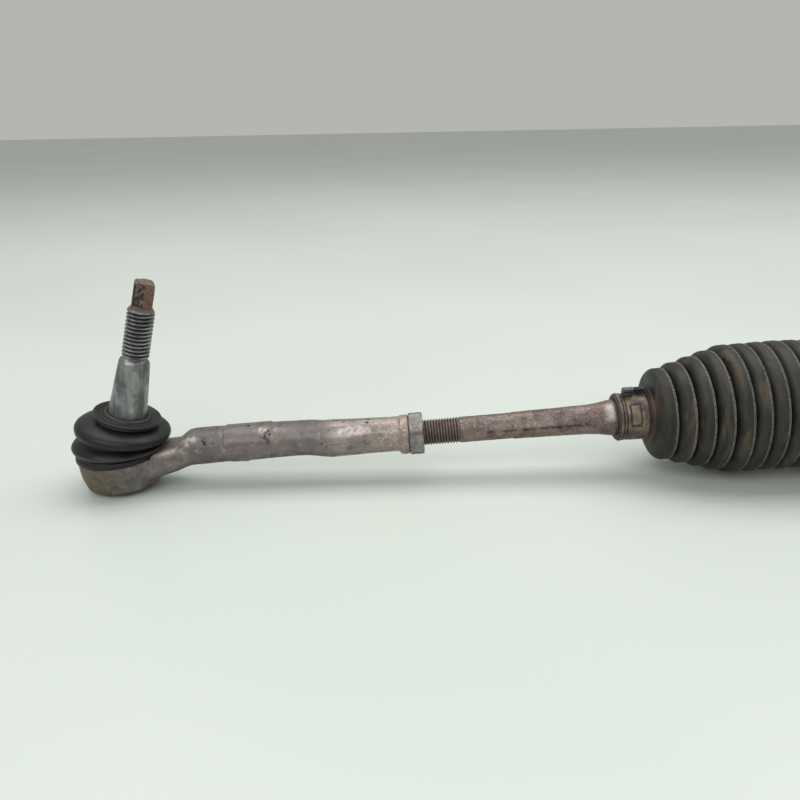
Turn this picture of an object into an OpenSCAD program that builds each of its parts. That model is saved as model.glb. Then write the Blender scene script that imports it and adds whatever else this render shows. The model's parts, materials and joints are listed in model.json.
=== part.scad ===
// Rack and pinion steering gear, complete with both tie rods.
// +X runs along the rack and +Z is up. The origin is midway between the two mounting bores,
// on the mounting plane. Every outer piece is drawn for the left (-X) end and mirrored for the
// right one. Lengths are in millimetres and angles in degrees.

/* [Mounting] */
// Distance between the two mounting bores, along the rack
mount_spacing = 350; // [344:1:356]
// Distance from the rack's axis back to the mounting bores
rack_y = 46; // [45.5:0.5:48]
// Height of the rack's axis above the mounting plane
rack_z = 37; // [36:0.5:40]
// Radius of the bolt hole in a mounting sleeve
mount_hole_r = 6.5; // [5.5:0.5:7]

/* [Rack] */
// Radius of the rack bar
rack_r = 13; // [13:13]
// Distance from the middle of the rack to each of its ends
rack_half = 297; // [297:1:300]
// Number of tooth spaces cut in the rack
rack_spaces = 25; // [25:2:27]
// Distance from the middle of the gear to the centre of each inner ball
inner_ball_x = 335; // [335:1:338]

/* [Pinion] */
// Place of the pinion along the rack
pinion_x = 110; // [100:1:112]
// Lean of the pinion towards the front
tower_lean = 15; // [12:1:16]
// Number of teeth on the pinion
pinion_teeth = 7; // [7:7]
// Rack travel for one turn of the pinion
travel_per_turn = 50; // [50:50]
// Helix angle of the teeth
helix = 25; // [25:25]
// Number of serrations on the input shaft
serrations = 36; // [30:2:40]

/* [Tie rod] */
// Distance along the rod from the inner ball to the outer ball
rod_len = 350; // [348:1:354]
// Distance along the rod from the inner ball to the jam nut
nut_u = 188.5; // [187:0.5:190]
// Jam nut, across its flats
nut_flats = 22; // [21:0.5:22]
// Height of the jam nut's front corner above the horizontal, in degrees
nut_turn = 23; // [0:1:30]
// Lean of each ball stud from its socket's axis, towards the middle of the gear
stud_tilt = 18.2; // [14:0.2:20]

/* [Bellows] */
// Number of folds in each bellows
fold_count = 20; // [19:1:20]
// Distance from one fold to the next
fold_pitch = 8.6; // [8.4:0.1:8.7]
// Outer radius of the large folds
fold_r = 33.8; // [33:0.1:34.5]

/* [Hidden] */
$fn = 72;
cut = 1;              // how far a cutting shape runs past the surface that it cuts
slip = 0.05;          // radial clearance of a running fit

// Housing
tube_r = 22;
bore_r = 14.5;
housing_half = 222;
seat_r = 28;
bumper_r = 21;
bumper_x = 214;
bush_r = 16;
boss_r = 23;
boss_bottom = 4;
boss_top = 50;
sleeve_r = 10;
sleeve_h = 54;
mount_bore_r = 18.5;

// Tooth geometry: the normal module follows from the travel per turn and the helix
tooth_pitch = travel_per_turn / pinion_teeth;
transverse_module = tooth_pitch / PI;
normal_module = transverse_module * cos(helix);
normal_pitch = tooth_pitch * cos(helix);
normal_pressure = 20;
transverse_pressure = atan(tan(normal_pressure) / cos(helix));
profile_shift = 0.5;
pitch_r = pinion_teeth * transverse_module / 2;
base_r = pitch_r * cos(transverse_pressure);
tip_r = 10.6;
root_r = 6.4;
rack_tip_y = 9;       // from the rack's axis to the tops of its teeth
rack_ref_y = rack_tip_y - normal_module;
rack_root_y = 4.98;
centre_distance = rack_ref_y + pitch_r + profile_shift * normal_module;
backlash = 0.16;
gear_half = 14;

// Pinion shaft, bearings and tower, as heights along the pinion's axis
journal_r = 5;
needle_r = 1;
needle_count = 12;
needle_bore_r = 8.5;
shaft_r = 8.5;
bearing_r = 17.5;
bearing_z = 17;
bearing_h = 10;
race_mid_r = 13;
bearing_ball_r = 2.38;
bearing_ball_count = 9;
groove_r = 2.45;
tower_top = 40;
foot_bevel_r = 12;
tower_foot = (rack_z - (centre_distance + foot_bevel_r) * sin(tower_lean)) / cos(tower_lean);
spline_z = 60;
shaft_top = 84;

// Yoke, as distances from the rack's axis towards the back
yoke_r = 14;
yoke_near = 4;
yoke_far = 28;
yoke_boss_r = 20;
yoke_boss_end = 46;
plug_r = 16;
plug_near = 38;
spring_r = 8;
spring_wire_r = 1.2;
spring_turns = 3.5;
pocket_r = 10.6;

// Inner ball joint
inner_ball_r = 13;
inner_cavity_r = 14.65;
inner_rim = 8;
socket_r = 19;
stub_r = 6.95;
stub_len = 25;

// Tie rod and its end
rod_thread_r = 6.95;
rod_thread_start = 169.5;
rod_thread_end = 213;
rod_flats = 13.3;       // wrench flats' width
rod_flats_start = 119;
rod_flats_end = 140.5;
rod_flats_turn = 35;
nut_h = 7.5;
end_bore_r = rod_thread_r + slip;
end_start = nut_u + nut_h;
lip_u = 87;
neck_r = 12;
neck_in_r = 9.25;

// Outer ball joint: both rods droop until the outer edge of each socket's flat underside
// reaches the mounting plane
ball_r = 13;
cup_cavity_r = 15.05;
cup_rim = 5.5;
socket_base = 15;
foot_r = 13.8;
cap_r = 14.6;
cap_top = -12.7;
cap_bottom = -14.3;
reach = rod_len + foot_r;
droop = asin(rack_z / norm([reach, socket_base])) - atan(socket_base / reach);
stud_thread_r = 7;
stud_thread_start = 58;
stud_thread_end = 83;
stud_end = 98;
stud_hex = 10;
boot_z = 2.4;         // the boot's foot, above the ball's centre
wall = 1.4;           // thickness of the rubber boots

side_nodes = ["mount_bush", "mount_sleeve", "stop_bumper", "bellows", "bellows_clamp_large",
              "bellows_clamp_small", "inner_socket", "inner_seat", "tie_rod", "jam_nut", "rod_end",
              "outer_seat", "end_cap", "ball_stud", "dust_boot", "boot_ring_lower",
              "boot_ring_upper"];
middle_nodes = ["rack_housing", "rack_bush", "rack_bar", "pinion", "needle_shell",
                "needle_rollers", "bearing_outer_race", "bearing_inner_race", "bearing_balls",
                "bearing_lock_ring", "pinion_seal", "pinion_circlip", "input_dust_cover", "yoke",
                "yoke_liner", "yoke_o_ring", "yoke_spring", "yoke_plug", "yoke_locknut"];
sides = ["left", "right"];

// ---- Frames ----

// The rack's axis, with X along it
module on_rack() translate([0, -rack_y, rack_z]) children();

// Local Z runs outwards along the rack's left end, local X is up
module on_rack_end() on_rack() rotate([0, -90, 0]) children();

// Where the pinion meets the rack: X along the rack, Z along the pinion
module on_mesh() on_rack() translate([pinion_x, 0, 0]) rotate([tower_lean, 0, 0]) children();

// Local Z is the pinion's axis
module on_pinion() on_mesh() translate([0, -centre_distance, 0]) children();

// Local Z runs from the rack's axis out through the yoke
module on_yoke() on_mesh() rotate([-90, 0, 0]) children();

// Local Z runs outwards along the left tie rod from the inner ball, local X is up
module on_rod()
    on_rack() translate([-inner_ball_x, 0, 0]) rotate([0, -90 - droop, 0]) children();

// The centre of the left outer ball, with Z up and square to the rod
module on_socket() on_rod() translate([0, 0, rod_len]) rotate([0, 90, 0]) children();

// The same, leaning part of the way towards the stud
module on_boot_bulge() on_socket() rotate([0, 0.65 * stud_tilt, 0]) children();

// The centre of the left outer ball, with Z along the stud
module on_stud() on_socket() rotate([0, stud_tilt, 0]) children();

// ---- Shared shapes ----

module turned(outline) rotate_extrude() polygon(outline);

module ring(r_in, r_out, z0, z1) turned([[r_in, z0], [r_out, z0], [r_out, z1], [r_in, z1]]);

// A hexagonal nut with both faces chamfered
module hex_nut(flats, bore, h) {
    corner = flats / sqrt(3);
    bevel = corner - flats / 2;
    difference() {
        intersection() {
            cylinder(r = corner, h = h, $fn = 6);
            turned([[0, 0], [flats / 2, 0], [corner, bevel * 0.6], [corner, h - bevel * 0.6],
                    [flats / 2, h], [0, h]]);
        }
        translate([0, 0, -cut]) cylinder(r = bore, h = h + 2 * cut);
    }
}

// ---- Housing and mounts ----

function housing_outline() = let (h = housing_half, flare = 12, seat = 17, lip = 2.5)
    [[0, -h], [seat_r, -h], [seat_r, seat - h], [seat_r + lip, seat - h],
     [seat_r + lip, seat + 3 - h], [tube_r, seat + 3 + flare - h],
     [tube_r, h - seat - 3 - flare], [seat_r + lip, h - seat - 3], [seat_r + lip, h - seat],
     [seat_r, h - seat], [seat_r, h], [0, h]];

module tower_outline()
    turned([[0, -tower_foot], [foot_bevel_r, -tower_foot], [13, 1 - tower_foot], [13, -16],
            [17, -12], [17, 8], [22, 14], [22, tower_top - 1], [21, tower_top], [0, tower_top]]);

module mount_arm() {
    half = boss_r - 2;
    cylinder(r = boss_r, h = boss_top - boss_bottom);
    translate([-half, -rack_y, 10]) cube([2 * half, rack_y, 28]);
    translate([-4, -rack_y, 8]) cube([8, rack_y - 4, boss_top - boss_bottom - 10]);
}

module housing_ribs() {
    rib_t = 3.5;
    rib_r = tube_r + 3.5;
    rib_end = 185;
    translate([-rib_end, -rib_t / 2, -rib_r]) cube([2 * rib_end, rib_t, 2 * rib_r]);
    translate([-rib_end, -rib_r, -rib_t / 2]) cube([2 * rib_end, rib_r, rib_t]);
    for (x = [-150:50:50]) translate([x, 0, 0]) rotate([0, 90, 0])
        cylinder(r = rib_r - 1, h = rib_t, center = true);
}

module rack_housing() color("lightgray") difference() {
    union() {
        on_rack() rotate([0, 90, 0]) turned(housing_outline());
        on_rack() housing_ribs();
        on_pinion() tower_outline();
        on_yoke() turned([[0, 0], [yoke_boss_r, 0], [yoke_boss_r, yoke_boss_end - 1],
                          [yoke_boss_r - 1, yoke_boss_end], [0, yoke_boss_end]]);
        for (s = [-1, 1]) translate([s * mount_spacing / 2, 0, boss_bottom]) mount_arm();
    }
    on_rack() rotate([0, 90, 0]) {
        cylinder(r = bore_r, h = 2 * housing_half + 2 * cut, center = true);
        for (s = [-1, 1]) translate([0, 0, s * (housing_half + bumper_x + cut) / 2])
            cylinder(r = bumper_r, h = housing_half - bumper_x + cut, center = true);
        translate([0, 0, -bumper_x - cut]) cylinder(r = bush_r, h = bumper_x - 185 + cut);
    }
    on_pinion() {
        translate([0, 0, -26]) cylinder(r = needle_bore_r, h = 40);
        translate([0, 0, -gear_half - 0.5]) cylinder(r = tip_r + 0.6, h = 40);
        translate([0, 0, bearing_z - 1]) cylinder(r = race_mid_r, h = 40);
        translate([0, 0, bearing_z]) cylinder(r = bearing_r, h = 40);
    }
    on_yoke() {
        cylinder(r = yoke_r + slip, h = yoke_boss_end);
        translate([0, 0, plug_near]) cylinder(r = plug_r, h = 20);
    }
    for (s = [-1, 1]) translate([s * mount_spacing / 2, 0, 0])
        cylinder(r = mount_bore_r, h = boss_top + cut);
}

module mount_bush() color("#26231f") translate([-mount_spacing / 2, 0, 0])
    turned([[sleeve_r, 1.5], [21, 1.5], [21, boss_bottom], [mount_bore_r, boss_bottom],
            [mount_bore_r, boss_top], [21, boss_top], [21, boss_top + 2.5],
            [sleeve_r, boss_top + 2.5]]);

module mount_sleeve() color("silver") translate([-mount_spacing / 2, 0, 0])
    ring(mount_hole_r, sleeve_r, 0, sleeve_h);

module stop_bumper() color("#202020") on_rack_end()
    ring(rack_r + 1.2, bumper_r, bumper_x, housing_half + 3);

// ---- Rack ----

module rack_bush() color("ivory") on_rack_end() ring(rack_r + slip, bush_r, 185, 205);

// Half the width of a tooth space at a distance y from the rack's axis
function space_half(y) = normal_pitch / 4 + (y - rack_ref_y) * tan(normal_pressure);

module rack_tooth_space() {
    over = rack_tip_y + cut;
    linear_extrude(70, center = true)
        polygon([[-space_half(rack_root_y), -rack_root_y], [space_half(rack_root_y), -rack_root_y],
                 [space_half(over), -over], [-space_half(over), -over]]);
}

module rack_bar() color("gainsboro") difference() {
    on_rack() rotate([0, 90, 0])
        turned([[0, -rack_half], [rack_r - 1, -rack_half], [rack_r, 1 - rack_half],
                [rack_r, rack_half - 1], [rack_r - 1, rack_half], [0, rack_half]]);
    for (s = [-1, 1]) on_rack() translate([s * (rack_half - stub_len / 2), 0, 0])
        rotate([0, 90, 0]) cylinder(r = stub_r + slip, h = stub_len + 6, center = true);
    on_mesh() {
        flat_half = (rack_spaces + 1) / 2 * tooth_pitch;
        translate([-flat_half, -rack_tip_y - 20, -20]) cube([2 * flat_half, 20, 40]);
        last = (rack_spaces - 1) / 2;
        for (k = [-last:last]) translate([k * tooth_pitch, 0, 0]) rotate([0, helix, 0])
            rack_tooth_space();
    }
}

// ---- Pinion and its bearings ----

function involute(a) = tan(a) - a * PI / 180;

// Half the angle that a pinion tooth takes at radius r
function tooth_half_angle(r) =
    let (half_thickness = tooth_pitch / 4 + profile_shift * normal_module
                          * tan(transverse_pressure) - backlash / 4,
         a = acos(min(1, base_r / r)))
    (half_thickness / pitch_r + involute(transverse_pressure) - involute(a)) * 180 / PI;

function polar(r, a) = [r * cos(a), r * sin(a)];

flank = [for (i = [0:5]) base_r + (tip_r - base_r) * pow(i / 5, 1.3)];

// The tooth outline, symmetrical about an angle of a
function tooth_points(a) = concat(
    [polar(root_r, a - tooth_half_angle(base_r))],
    [for (r = flank) polar(r, a - tooth_half_angle(r))],
    [for (i = [5:-1:0]) polar(flank[i], a + tooth_half_angle(flank[i]))],
    [polar(root_r, a + tooth_half_angle(base_r))]);

module pinion_gear() {
    twist = 2 * gear_half * tan(helix) / pitch_r * 180 / PI;
    translate([0, 0, -gear_half]) rotate([0, 0, twist / 2])
        linear_extrude(2 * gear_half, twist = twist, slices = 14)
            polygon([for (i = [0:pinion_teeth - 1]) each tooth_points(90 + i * 360 / pinion_teeth)]);
}

module input_serrations() {
    spline_root = shaft_r - 0.7;
    step = 360 / serrations;
    difference() {
        translate([0, 0, spline_z - 0.4]) linear_extrude(shaft_top - spline_z - 1)
            polygon([for (i = [0:serrations - 1]) each
                [polar(spline_root, i * step), polar(shaft_r, (i + 0.3) * step),
                 polar(shaft_r, (i + 0.7) * step)]]);
        ring(spline_root, shaft_r + cut, spline_z + 5, spline_z + 12);
    }
}

module pinion() color("#8d8f92") on_pinion() {
    pinion_gear();
    core_r = root_r - 0.1;
    turned([[0, -25], [journal_r - 0.5, -25], [journal_r, -24.5], [journal_r, -gear_half - 0.4],
            [core_r, -gear_half - 0.4], [core_r, gear_half - 0.6], [7, gear_half - 0.6],
            [7, bearing_z], [shaft_r, bearing_z], [shaft_r, 27], [7.9, 27], [7.9, 28.3],
            [shaft_r, 28.3], [shaft_r, spline_z - 1], [7.6, spline_z], [7.6, shaft_top - 1],
            [6.6, shaft_top], [0, shaft_top]]);
    input_serrations();
}

module needle_shell() color("silver") on_pinion()
    ring(journal_r + 2 * needle_r + slip, needle_bore_r, -26, -15);

module needle_rollers() color("gainsboro") on_pinion()
    for (i = [0:needle_count - 1]) rotate([0, 0, i * 360 / needle_count])
        translate([journal_r + needle_r + slip / 2, 0, -25]) cylinder(r = needle_r, h = 9);

module race(r_in, r_out) rotate_extrude() difference() {
    translate([r_in, bearing_z]) square([r_out - r_in, bearing_h]);
    translate([race_mid_r, bearing_z + bearing_h / 2]) circle(r = groove_r);
}

module bearing_outer_race() color("silver") on_pinion() race(14.7, bearing_r);

module bearing_inner_race() color("silver") on_pinion() race(shaft_r, 11.3);

module bearing_balls() color("gainsboro") on_pinion()
    for (i = [0:bearing_ball_count - 1]) rotate([0, 0, i * 360 / bearing_ball_count])
        translate([race_mid_r, 0, bearing_z + bearing_h / 2]) sphere(r = bearing_ball_r);

module pinion_circlip() color("dimgray") on_pinion() difference() {
    ring(7.95, 10.2, 27.05, 28.2);
    translate([0, -1.5, 26]) cube([20, 3, 4]);
}

module bearing_lock_ring() color("#6f7072") on_pinion() difference() {
    ring(12, bearing_r, 27, 34);
    for (a = [0:90:270]) rotate([0, 0, a]) translate([14, -2, 31]) cube([6, 4, 4]);
}

module pinion_seal() color("#1b1b1b") on_pinion()
    turned([[shaft_r + slip, 29.4], [10, 29.4], [12, 29.4], [12, 33.6], [9.4, 33.6],
            [shaft_r + slip, 32]]);

module input_dust_cover() color("#1e1e1e") on_pinion()
    turned([[22, tower_top], [22, 42.5], [14.5, 45], [11.5, 52], [shaft_r + 0.1, 52],
            [shaft_r + 0.1, 50.5], [10, 50.5], [12.2, 43.8], [17.4, 41.4], [17.4, tower_top]]);

// ---- Yoke: it presses the rack against the pinion ----

saddle_r = 13.85;
groove_y = 20;

module yoke() color("#b9b9b4") on_yoke() difference() {
    translate([0, 0, yoke_near]) cylinder(r = yoke_r, h = yoke_far - yoke_near);
    rotate([0, 90, 0]) cylinder(r = saddle_r, h = 60, center = true);
    ring(12.1, yoke_r + cut, groove_y - 1.2, groove_y + 1.2);
    translate([0, 0, yoke_far - 4]) cylinder(r = pocket_r, h = 4 + cut);
}

module yoke_liner() color("#8a6b3c") on_yoke() intersection() {
    rotate([0, 90, 0]) ring(rack_r + 0.03, saddle_r, -20, 20);
    translate([0, 0, yoke_near + 0.5]) cylinder(r = yoke_r - 0.3, h = 12);
}

module yoke_o_ring() color("#161616") on_yoke() rotate_extrude()
    translate([13.08, groove_y]) circle(r = 0.94);

// Centre of the spring's wire, with t from 0 to 1
function coil_point(t, a, z0, z1) =
    let (turn = 360 * spring_turns * t, r = spring_r + spring_wire_r * cos(a))
    [r * cos(turn), r * sin(turn), z0 + (z1 - z0) * t + spring_wire_r * sin(a)];

module yoke_spring() color("#55585c") on_yoke() {
    wire_sides = 8;
    rings = 70;
    z0 = yoke_far - 4 + spring_wire_r;
    z1 = plug_near + 2 - spring_wire_r;
    points = [for (i = [0:rings]) for (j = [0:wire_sides - 1])
              coil_point(i / rings, j * 360 / wire_sides, z0, z1)];
    walls = [for (i = [0:rings - 1]) for (j = [0:wire_sides - 1])
             let (k = (j + 1) % wire_sides, a = i * wire_sides, b = a + wire_sides)
             [a + j, b + j, b + k, a + k]];
    caps = [[for (j = [0:wire_sides - 1]) j],
            [for (j = [wire_sides - 1:-1:0]) rings * wire_sides + j]];
    polyhedron(points, concat(walls, caps), convexity = 6);
}

module yoke_plug() color("#9a9c9e") on_yoke() difference() {
    translate([0, 0, plug_near]) cylinder(r = plug_r, h = 15);
    translate([0, 0, plug_near - cut]) cylinder(r = pocket_r, h = 2 + cut);
    translate([0, 0, plug_near + 8]) cylinder(r = 8, h = 10, $fn = 6);
}

module yoke_locknut() color("#8f9194") on_yoke() translate([0, 0, yoke_boss_end])
    hex_nut(36, plug_r, 6);

// ---- Bellows ----

// The first fold is the outermost one; the radius grows over the first few folds
first_fold_u = 64;
first_fold_r = 24.4;
function ridge_r(k) = min(fold_r, first_fold_r + 2.4 * (k - 1));
function valley_r(k) = (ridge_r(k) + ridge_r(k + 1)) / 2 - 5.2;
function fold_u(k) = first_fold_u - fold_pitch * (k - 1);
split_fold = 7;       // the folds up to this one lean with the tie rod

// Ridge and valley points of the folds from a to b, as distances along the axis
function fold_points(a, b) = [for (k = [a:b]) each
    [[ridge_r(k), fold_u(k) + 0.8], [ridge_r(k), fold_u(k) - 0.8],
     [valley_r(k), fold_u(k) - fold_pitch / 2 + 0.7],
     [valley_r(k), fold_u(k) - fold_pitch / 2 - 0.7]]];

// The same line, moved in by the thickness of the rubber, and run backwards
function lined(points) = [for (i = [len(points) - 1:-1:0]) [points[i][0] - wall, points[i][1]]];

module bellows() color("#2b2a26") {
    joint_r = valley_r(split_fold);
    joint_u = fold_u(split_fold) - fold_pitch / 2;
    neck_line = [[neck_r, lip_u], [neck_r, lip_u - 17], [15.5, lip_u - 19], [16.5, lip_u - 21]];
    small = concat(neck_line, fold_points(1, split_fold));
    inner = concat(lined(fold_points(1, split_fold)),
                   [[15.5, lip_u - 22.6], [13.6, lip_u - 20.4], [neck_in_r, lip_u - 18.4],
                    [neck_in_r, lip_u]]);
    on_rod() turned(concat(small, inner));
    cuff_r = seat_r + 2;
    large = fold_points(split_fold + 1, fold_count);
    cuff_end = housing_half - 17 - inner_ball_x;
    cuff_start = housing_half + 1 - inner_ball_x;
    on_rack_end() translate([0, 0, inner_ball_x])
        turned(concat([[joint_r, joint_u + 1.2]], large,
                      [[cuff_r, cuff_start], [cuff_r, cuff_end], [seat_r, cuff_end],
                       [seat_r, cuff_start]],
                      lined(large), [[joint_r - wall, joint_u + 1.2]]));
}

module bellows_clamp_large() color("#77736c") on_rack_end() {
    band_r = seat_r + 2;
    ring(band_r, band_r + 0.9, 208, 217);
    translate([band_r, -5, 209]) cube([4, 10, 7]);
}

// A sprung band with two finger tabs and a window
module bellows_clamp_small() color("#9c8570") on_rod() {
    band_in = neck_r + slip;
    band_out = band_in + 0.9;
    mid = lip_u - 9;
    difference() {
        ring(band_in, band_out, mid - 6.5, mid + 6.5);
        rotate([0, 0, 180]) translate([-8, 5, mid - 4]) cube([10, 12, 6]);
    }
    for (tab = [[-14, mid + 1.2], [14, mid - 6.5]]) rotate([0, 0, tab[0]])
        translate([band_in + 0.2, -0.8, tab[1]]) cube([5.4, 1.6, 5.2]);
}

// ---- Inner ball joint and tie rod ----

module inner_socket() color("#7d7a76") on_rack_end() difference() {
    face = inner_ball_x + inner_rim;
    turned([[0, rack_half - stub_len], [stub_r, rack_half - stub_len], [stub_r, rack_half],
            [16.5, rack_half], [socket_r, rack_half + 2.5], [socket_r, face - 5],
            [socket_r - 2.5, face], [0, face]]);
    translate([0, 0, inner_ball_x]) sphere(r = inner_cavity_r);
    for (s = [-1, 1]) translate([s * (17 + 5) - 5, -25, rack_half + 4]) cube([10, 50, 14]);
}

module inner_seat() color("#d8d4c4") on_rack_end() translate([0, 0, inner_ball_x])
    difference() {
        sphere(r = inner_cavity_r - slip);
        sphere(r = inner_ball_r + slip);
        translate([0, 0, inner_rim + 20]) cube(40, center = true);
        translate([0, 0, -20]) cylinder(r = 4, h = 20);
    }

module tie_rod() color("#7f716a") on_rod() {
    sphere(r = inner_ball_r);
    difference() {
        turned([[0, 5], [6.5, 5], [6.5, 20], [8, 30], [8, 60], [9.2, 66], [9.2, lip_u + 0.5],
                [9.7, lip_u + 1], [8.8, 93], [8.2, 99], [7.8, 106], [7.5, 117], [7.25, 139],
                [7.2, 141], [6.85, 141.5], [6.85, rod_thread_start],
                [rod_thread_r, rod_thread_start + 1], [rod_thread_r, rod_thread_end - 1.5],
                [5.6, rod_thread_end], [0, rod_thread_end]]);
        rotate([0, 0, rod_flats_turn]) for (s = [-1, 1])
            translate([-15, s * (rod_flats / 2 + 5) - 5, rod_flats_start])
                cube([30, 10, rod_flats_end - rod_flats_start]);
    }
}

module jam_nut() color("#85827e") on_rod() translate([0, 0, nut_u]) rotate([0, 0, nut_turn - 90])
    hex_nut(nut_flats, end_bore_r, nut_h);

// ---- Tie rod end ----

// Side view of the forged arm, as distances along the rod and heights above its axis
arm_side = [[234, -8.7], [239, -8.3], [246, -6.9], [252, -6], [268, -5.9], [272, -6.3],
            [309, -6.2], [318, -7.3], [326, -9], [336, -11], [350, -12], [350, 5.4], [318.5, 5.6],
            [311.5, 11.8], [293, 12.4], [290, 12.8], [271, 12.8], [267, 12.1], [251, 11.5],
            [234, 10.9]];

module rod_end_arm() intersection() {
    rotate([90, 0, 0]) linear_extrude(40, center = true)
        polygon([for (p = arm_side) [p[1], p[0]]]);
    union() {
        translate([3, 0, 230]) cylinder(r = 10.3, h = 92);
        translate([-2, 0, 316]) cylinder(r = 13, h = rod_len - 316);
    }
}

module rod_end_cup()
    turned([[0, -socket_base], [foot_r, -socket_base], [15.6, -14.5], [18.2, -13.3],
            [19.8, -11.8], [20.9, -8.5], [21.5, -4], [21.6, 1.6], [21.2, boot_z],
            [18.8, boot_z], [18.8, 6], [19.6, 6], [19.6, 8], [18.8, 9], [0, 9]]);

module rod_end() color("#84807e") difference() {
    union() {
        on_rod() {
            turned([[0, end_start], [10.1, end_start], [10.4, end_start + 0.5],
                    [10.4, end_start + 4.5], [9.5, end_start + 6], [0, end_start + 6]]);
            translate([0.6, 0, 0])
                turned([[0, end_start + 5], [9.5, end_start + 5], [9.5, 237], [8.4, 240],
                        [0, 240]]);
            rod_end_arm();
        }
        on_socket() rod_end_cup();
    }
    on_socket() turned([[18.8, boot_z], [24.6, boot_z], [24.6, 14], [19.6, 14], [19.6, 6],
                        [18.8, 6]]);
    on_rod() translate([0, 0, end_start - cut]) cylinder(r = end_bore_r, h = 236 - end_start);
    on_socket() {
        difference() {
            sphere(r = cup_cavity_r);
            translate([0, 0, cap_top - 20]) cube(40, center = true);
        }
        translate([0, 0, cap_bottom]) cylinder(r = cap_r, h = cap_top - cap_bottom + 0.2);
        translate([0, 0, -socket_base - cut]) cylinder(r = cap_r - 2, h = 4);
        turned([[0, cup_rim], [13.9, cup_rim], [15, 9 + cut], [0, 9 + cut]]);
    }
}

module outer_seat() color("#d8d4c4") on_socket() difference() {
    sphere(r = cup_cavity_r - slip);
    sphere(r = ball_r + slip);
    translate([0, 0, cup_rim + 20]) cube(40, center = true);
    translate([0, 0, cap_top - 20]) cube(40, center = true);
}

module end_cap() color("#77746f") on_socket() difference() {
    translate([0, 0, cap_bottom]) cylinder(r = cap_r - slip, h = cap_top - cap_bottom);
    sphere(r = ball_r + 0.1);
}

module ball_stud() color("#9b9da0") on_stud() {
    thread_tip = stud_thread_end + 1.5;
    sphere(r = ball_r);
    turned([[0, 5], [8, 5], [8, 15.5], [10, 18], [10, 25.6], [7.8, 54.5], [7.3, 56.3],
            [6.3, 57.2], [6.3, stud_thread_start], [stud_thread_r, stud_thread_start],
            [stud_thread_r, stud_thread_end], [5.2, thread_tip], [0, thread_tip]]);
    intersection() {
        translate([0, 0, stud_thread_end]) rotate([0, 0, 45])
            cylinder(r = stud_hex / sqrt(3), h = stud_end - stud_thread_end, $fn = 6);
        turned([[0, stud_thread_end - cut], [8, stud_thread_end - cut], [8, stud_end - 3],
                [5.2, stud_end - 0.8], [3, stud_end], [0, stud_end]]);
    }
}

// ---- Dust boot: its foot is square to the rod, its neck follows the stud, its bulge is between ----

boot_foot = [[0, boot_z + slip], [21.5, boot_z + slip], [21.5, 6], [23.2, 7.6], [23.8, 9.5],
             [23.2, 11.8], [20.5, 13.8], [0, 13.8]];
boot_bulge = [[0, 9.5], [17, 9.5], [22, 12.5], [24.4, 15], [24.8, 17], [23.6, 19.4], [19, 21.2],
              [15, 22], [0, 22]];
boot_neck = [[0, 18], [14, 18], [14.6, 22.4], [17.8, 24], [17.8, 25.4], [0, 25.4]];

module dust_boot() color("#1a1a1c") difference() {
    union() {
        on_socket() turned(boot_foot);
        on_boot_bulge() turned(boot_bulge);
        on_stud() turned(boot_neck);
    }
    on_socket() turned([[0, 0], [18.85, 0], [18.85, 5.7], [19.9, 5.7], [20.2, 6.6], [21.9, 8.2],
                        [22.3, 9.6], [21.6, 11.2], [19.2, 12.6], [0, 12.6]]);
    on_boot_bulge() turned([[0, 8], [15.5, 10.4], [20.6, 13.4], [23, 15.6], [23.4, 16.9],
                            [22.3, 18.6], [18.2, 20], [13.2, 20.6], [0, 20.6]]);
    on_stud() turned([[0, 16.8], [11.6, 16.8], [11.6, 30], [0, 30]]);
}

module boot_ring_lower() color("#5d5f62") on_socket() ring(21.5 + slip, 22.35, 3.2, 5.2);

module boot_ring_upper() color("#5d5f62") on_stud() ring(10.05, 11.55, 23.2, 25.2);

// ---- Assembly ----

module side_piece(name) {
    if (name == "mount_bush") mount_bush();
    if (name == "mount_sleeve") mount_sleeve();
    if (name == "stop_bumper") stop_bumper();
    if (name == "bellows") bellows();
    if (name == "bellows_clamp_large") bellows_clamp_large();
    if (name == "bellows_clamp_small") bellows_clamp_small();
    if (name == "inner_socket") inner_socket();
    if (name == "inner_seat") inner_seat();
    if (name == "tie_rod") tie_rod();
    if (name == "jam_nut") jam_nut();
    if (name == "rod_end") rod_end();
    if (name == "outer_seat") outer_seat();
    if (name == "end_cap") end_cap();
    if (name == "ball_stud") ball_stud();
    if (name == "dust_boot") dust_boot();
    if (name == "boot_ring_lower") boot_ring_lower();
    if (name == "boot_ring_upper") boot_ring_upper();
}

rack_housing();
rack_bush();
rack_bar();
pinion();
needle_shell();
needle_rollers();
bearing_outer_race();
bearing_inner_race();
bearing_balls();
bearing_lock_ring();
pinion_seal();
pinion_circlip();
input_dust_cover();
yoke();
yoke_liner();
yoke_o_ring();
yoke_spring();
yoke_plug();
yoke_locknut();
for (name = side_nodes) {
    side_piece(name);
    mirror([1, 0, 0]) side_piece(name);
}
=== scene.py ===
"""Looks of the rack and pinion steering gear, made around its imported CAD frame.

Shapes are drawn in millimetres in the local frames below, for the left (-X) end, and mirrored
for the right one.
"""
import json
import math

import bpy
import numpy as np
from mathutils import Matrix, Vector, noise


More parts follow.
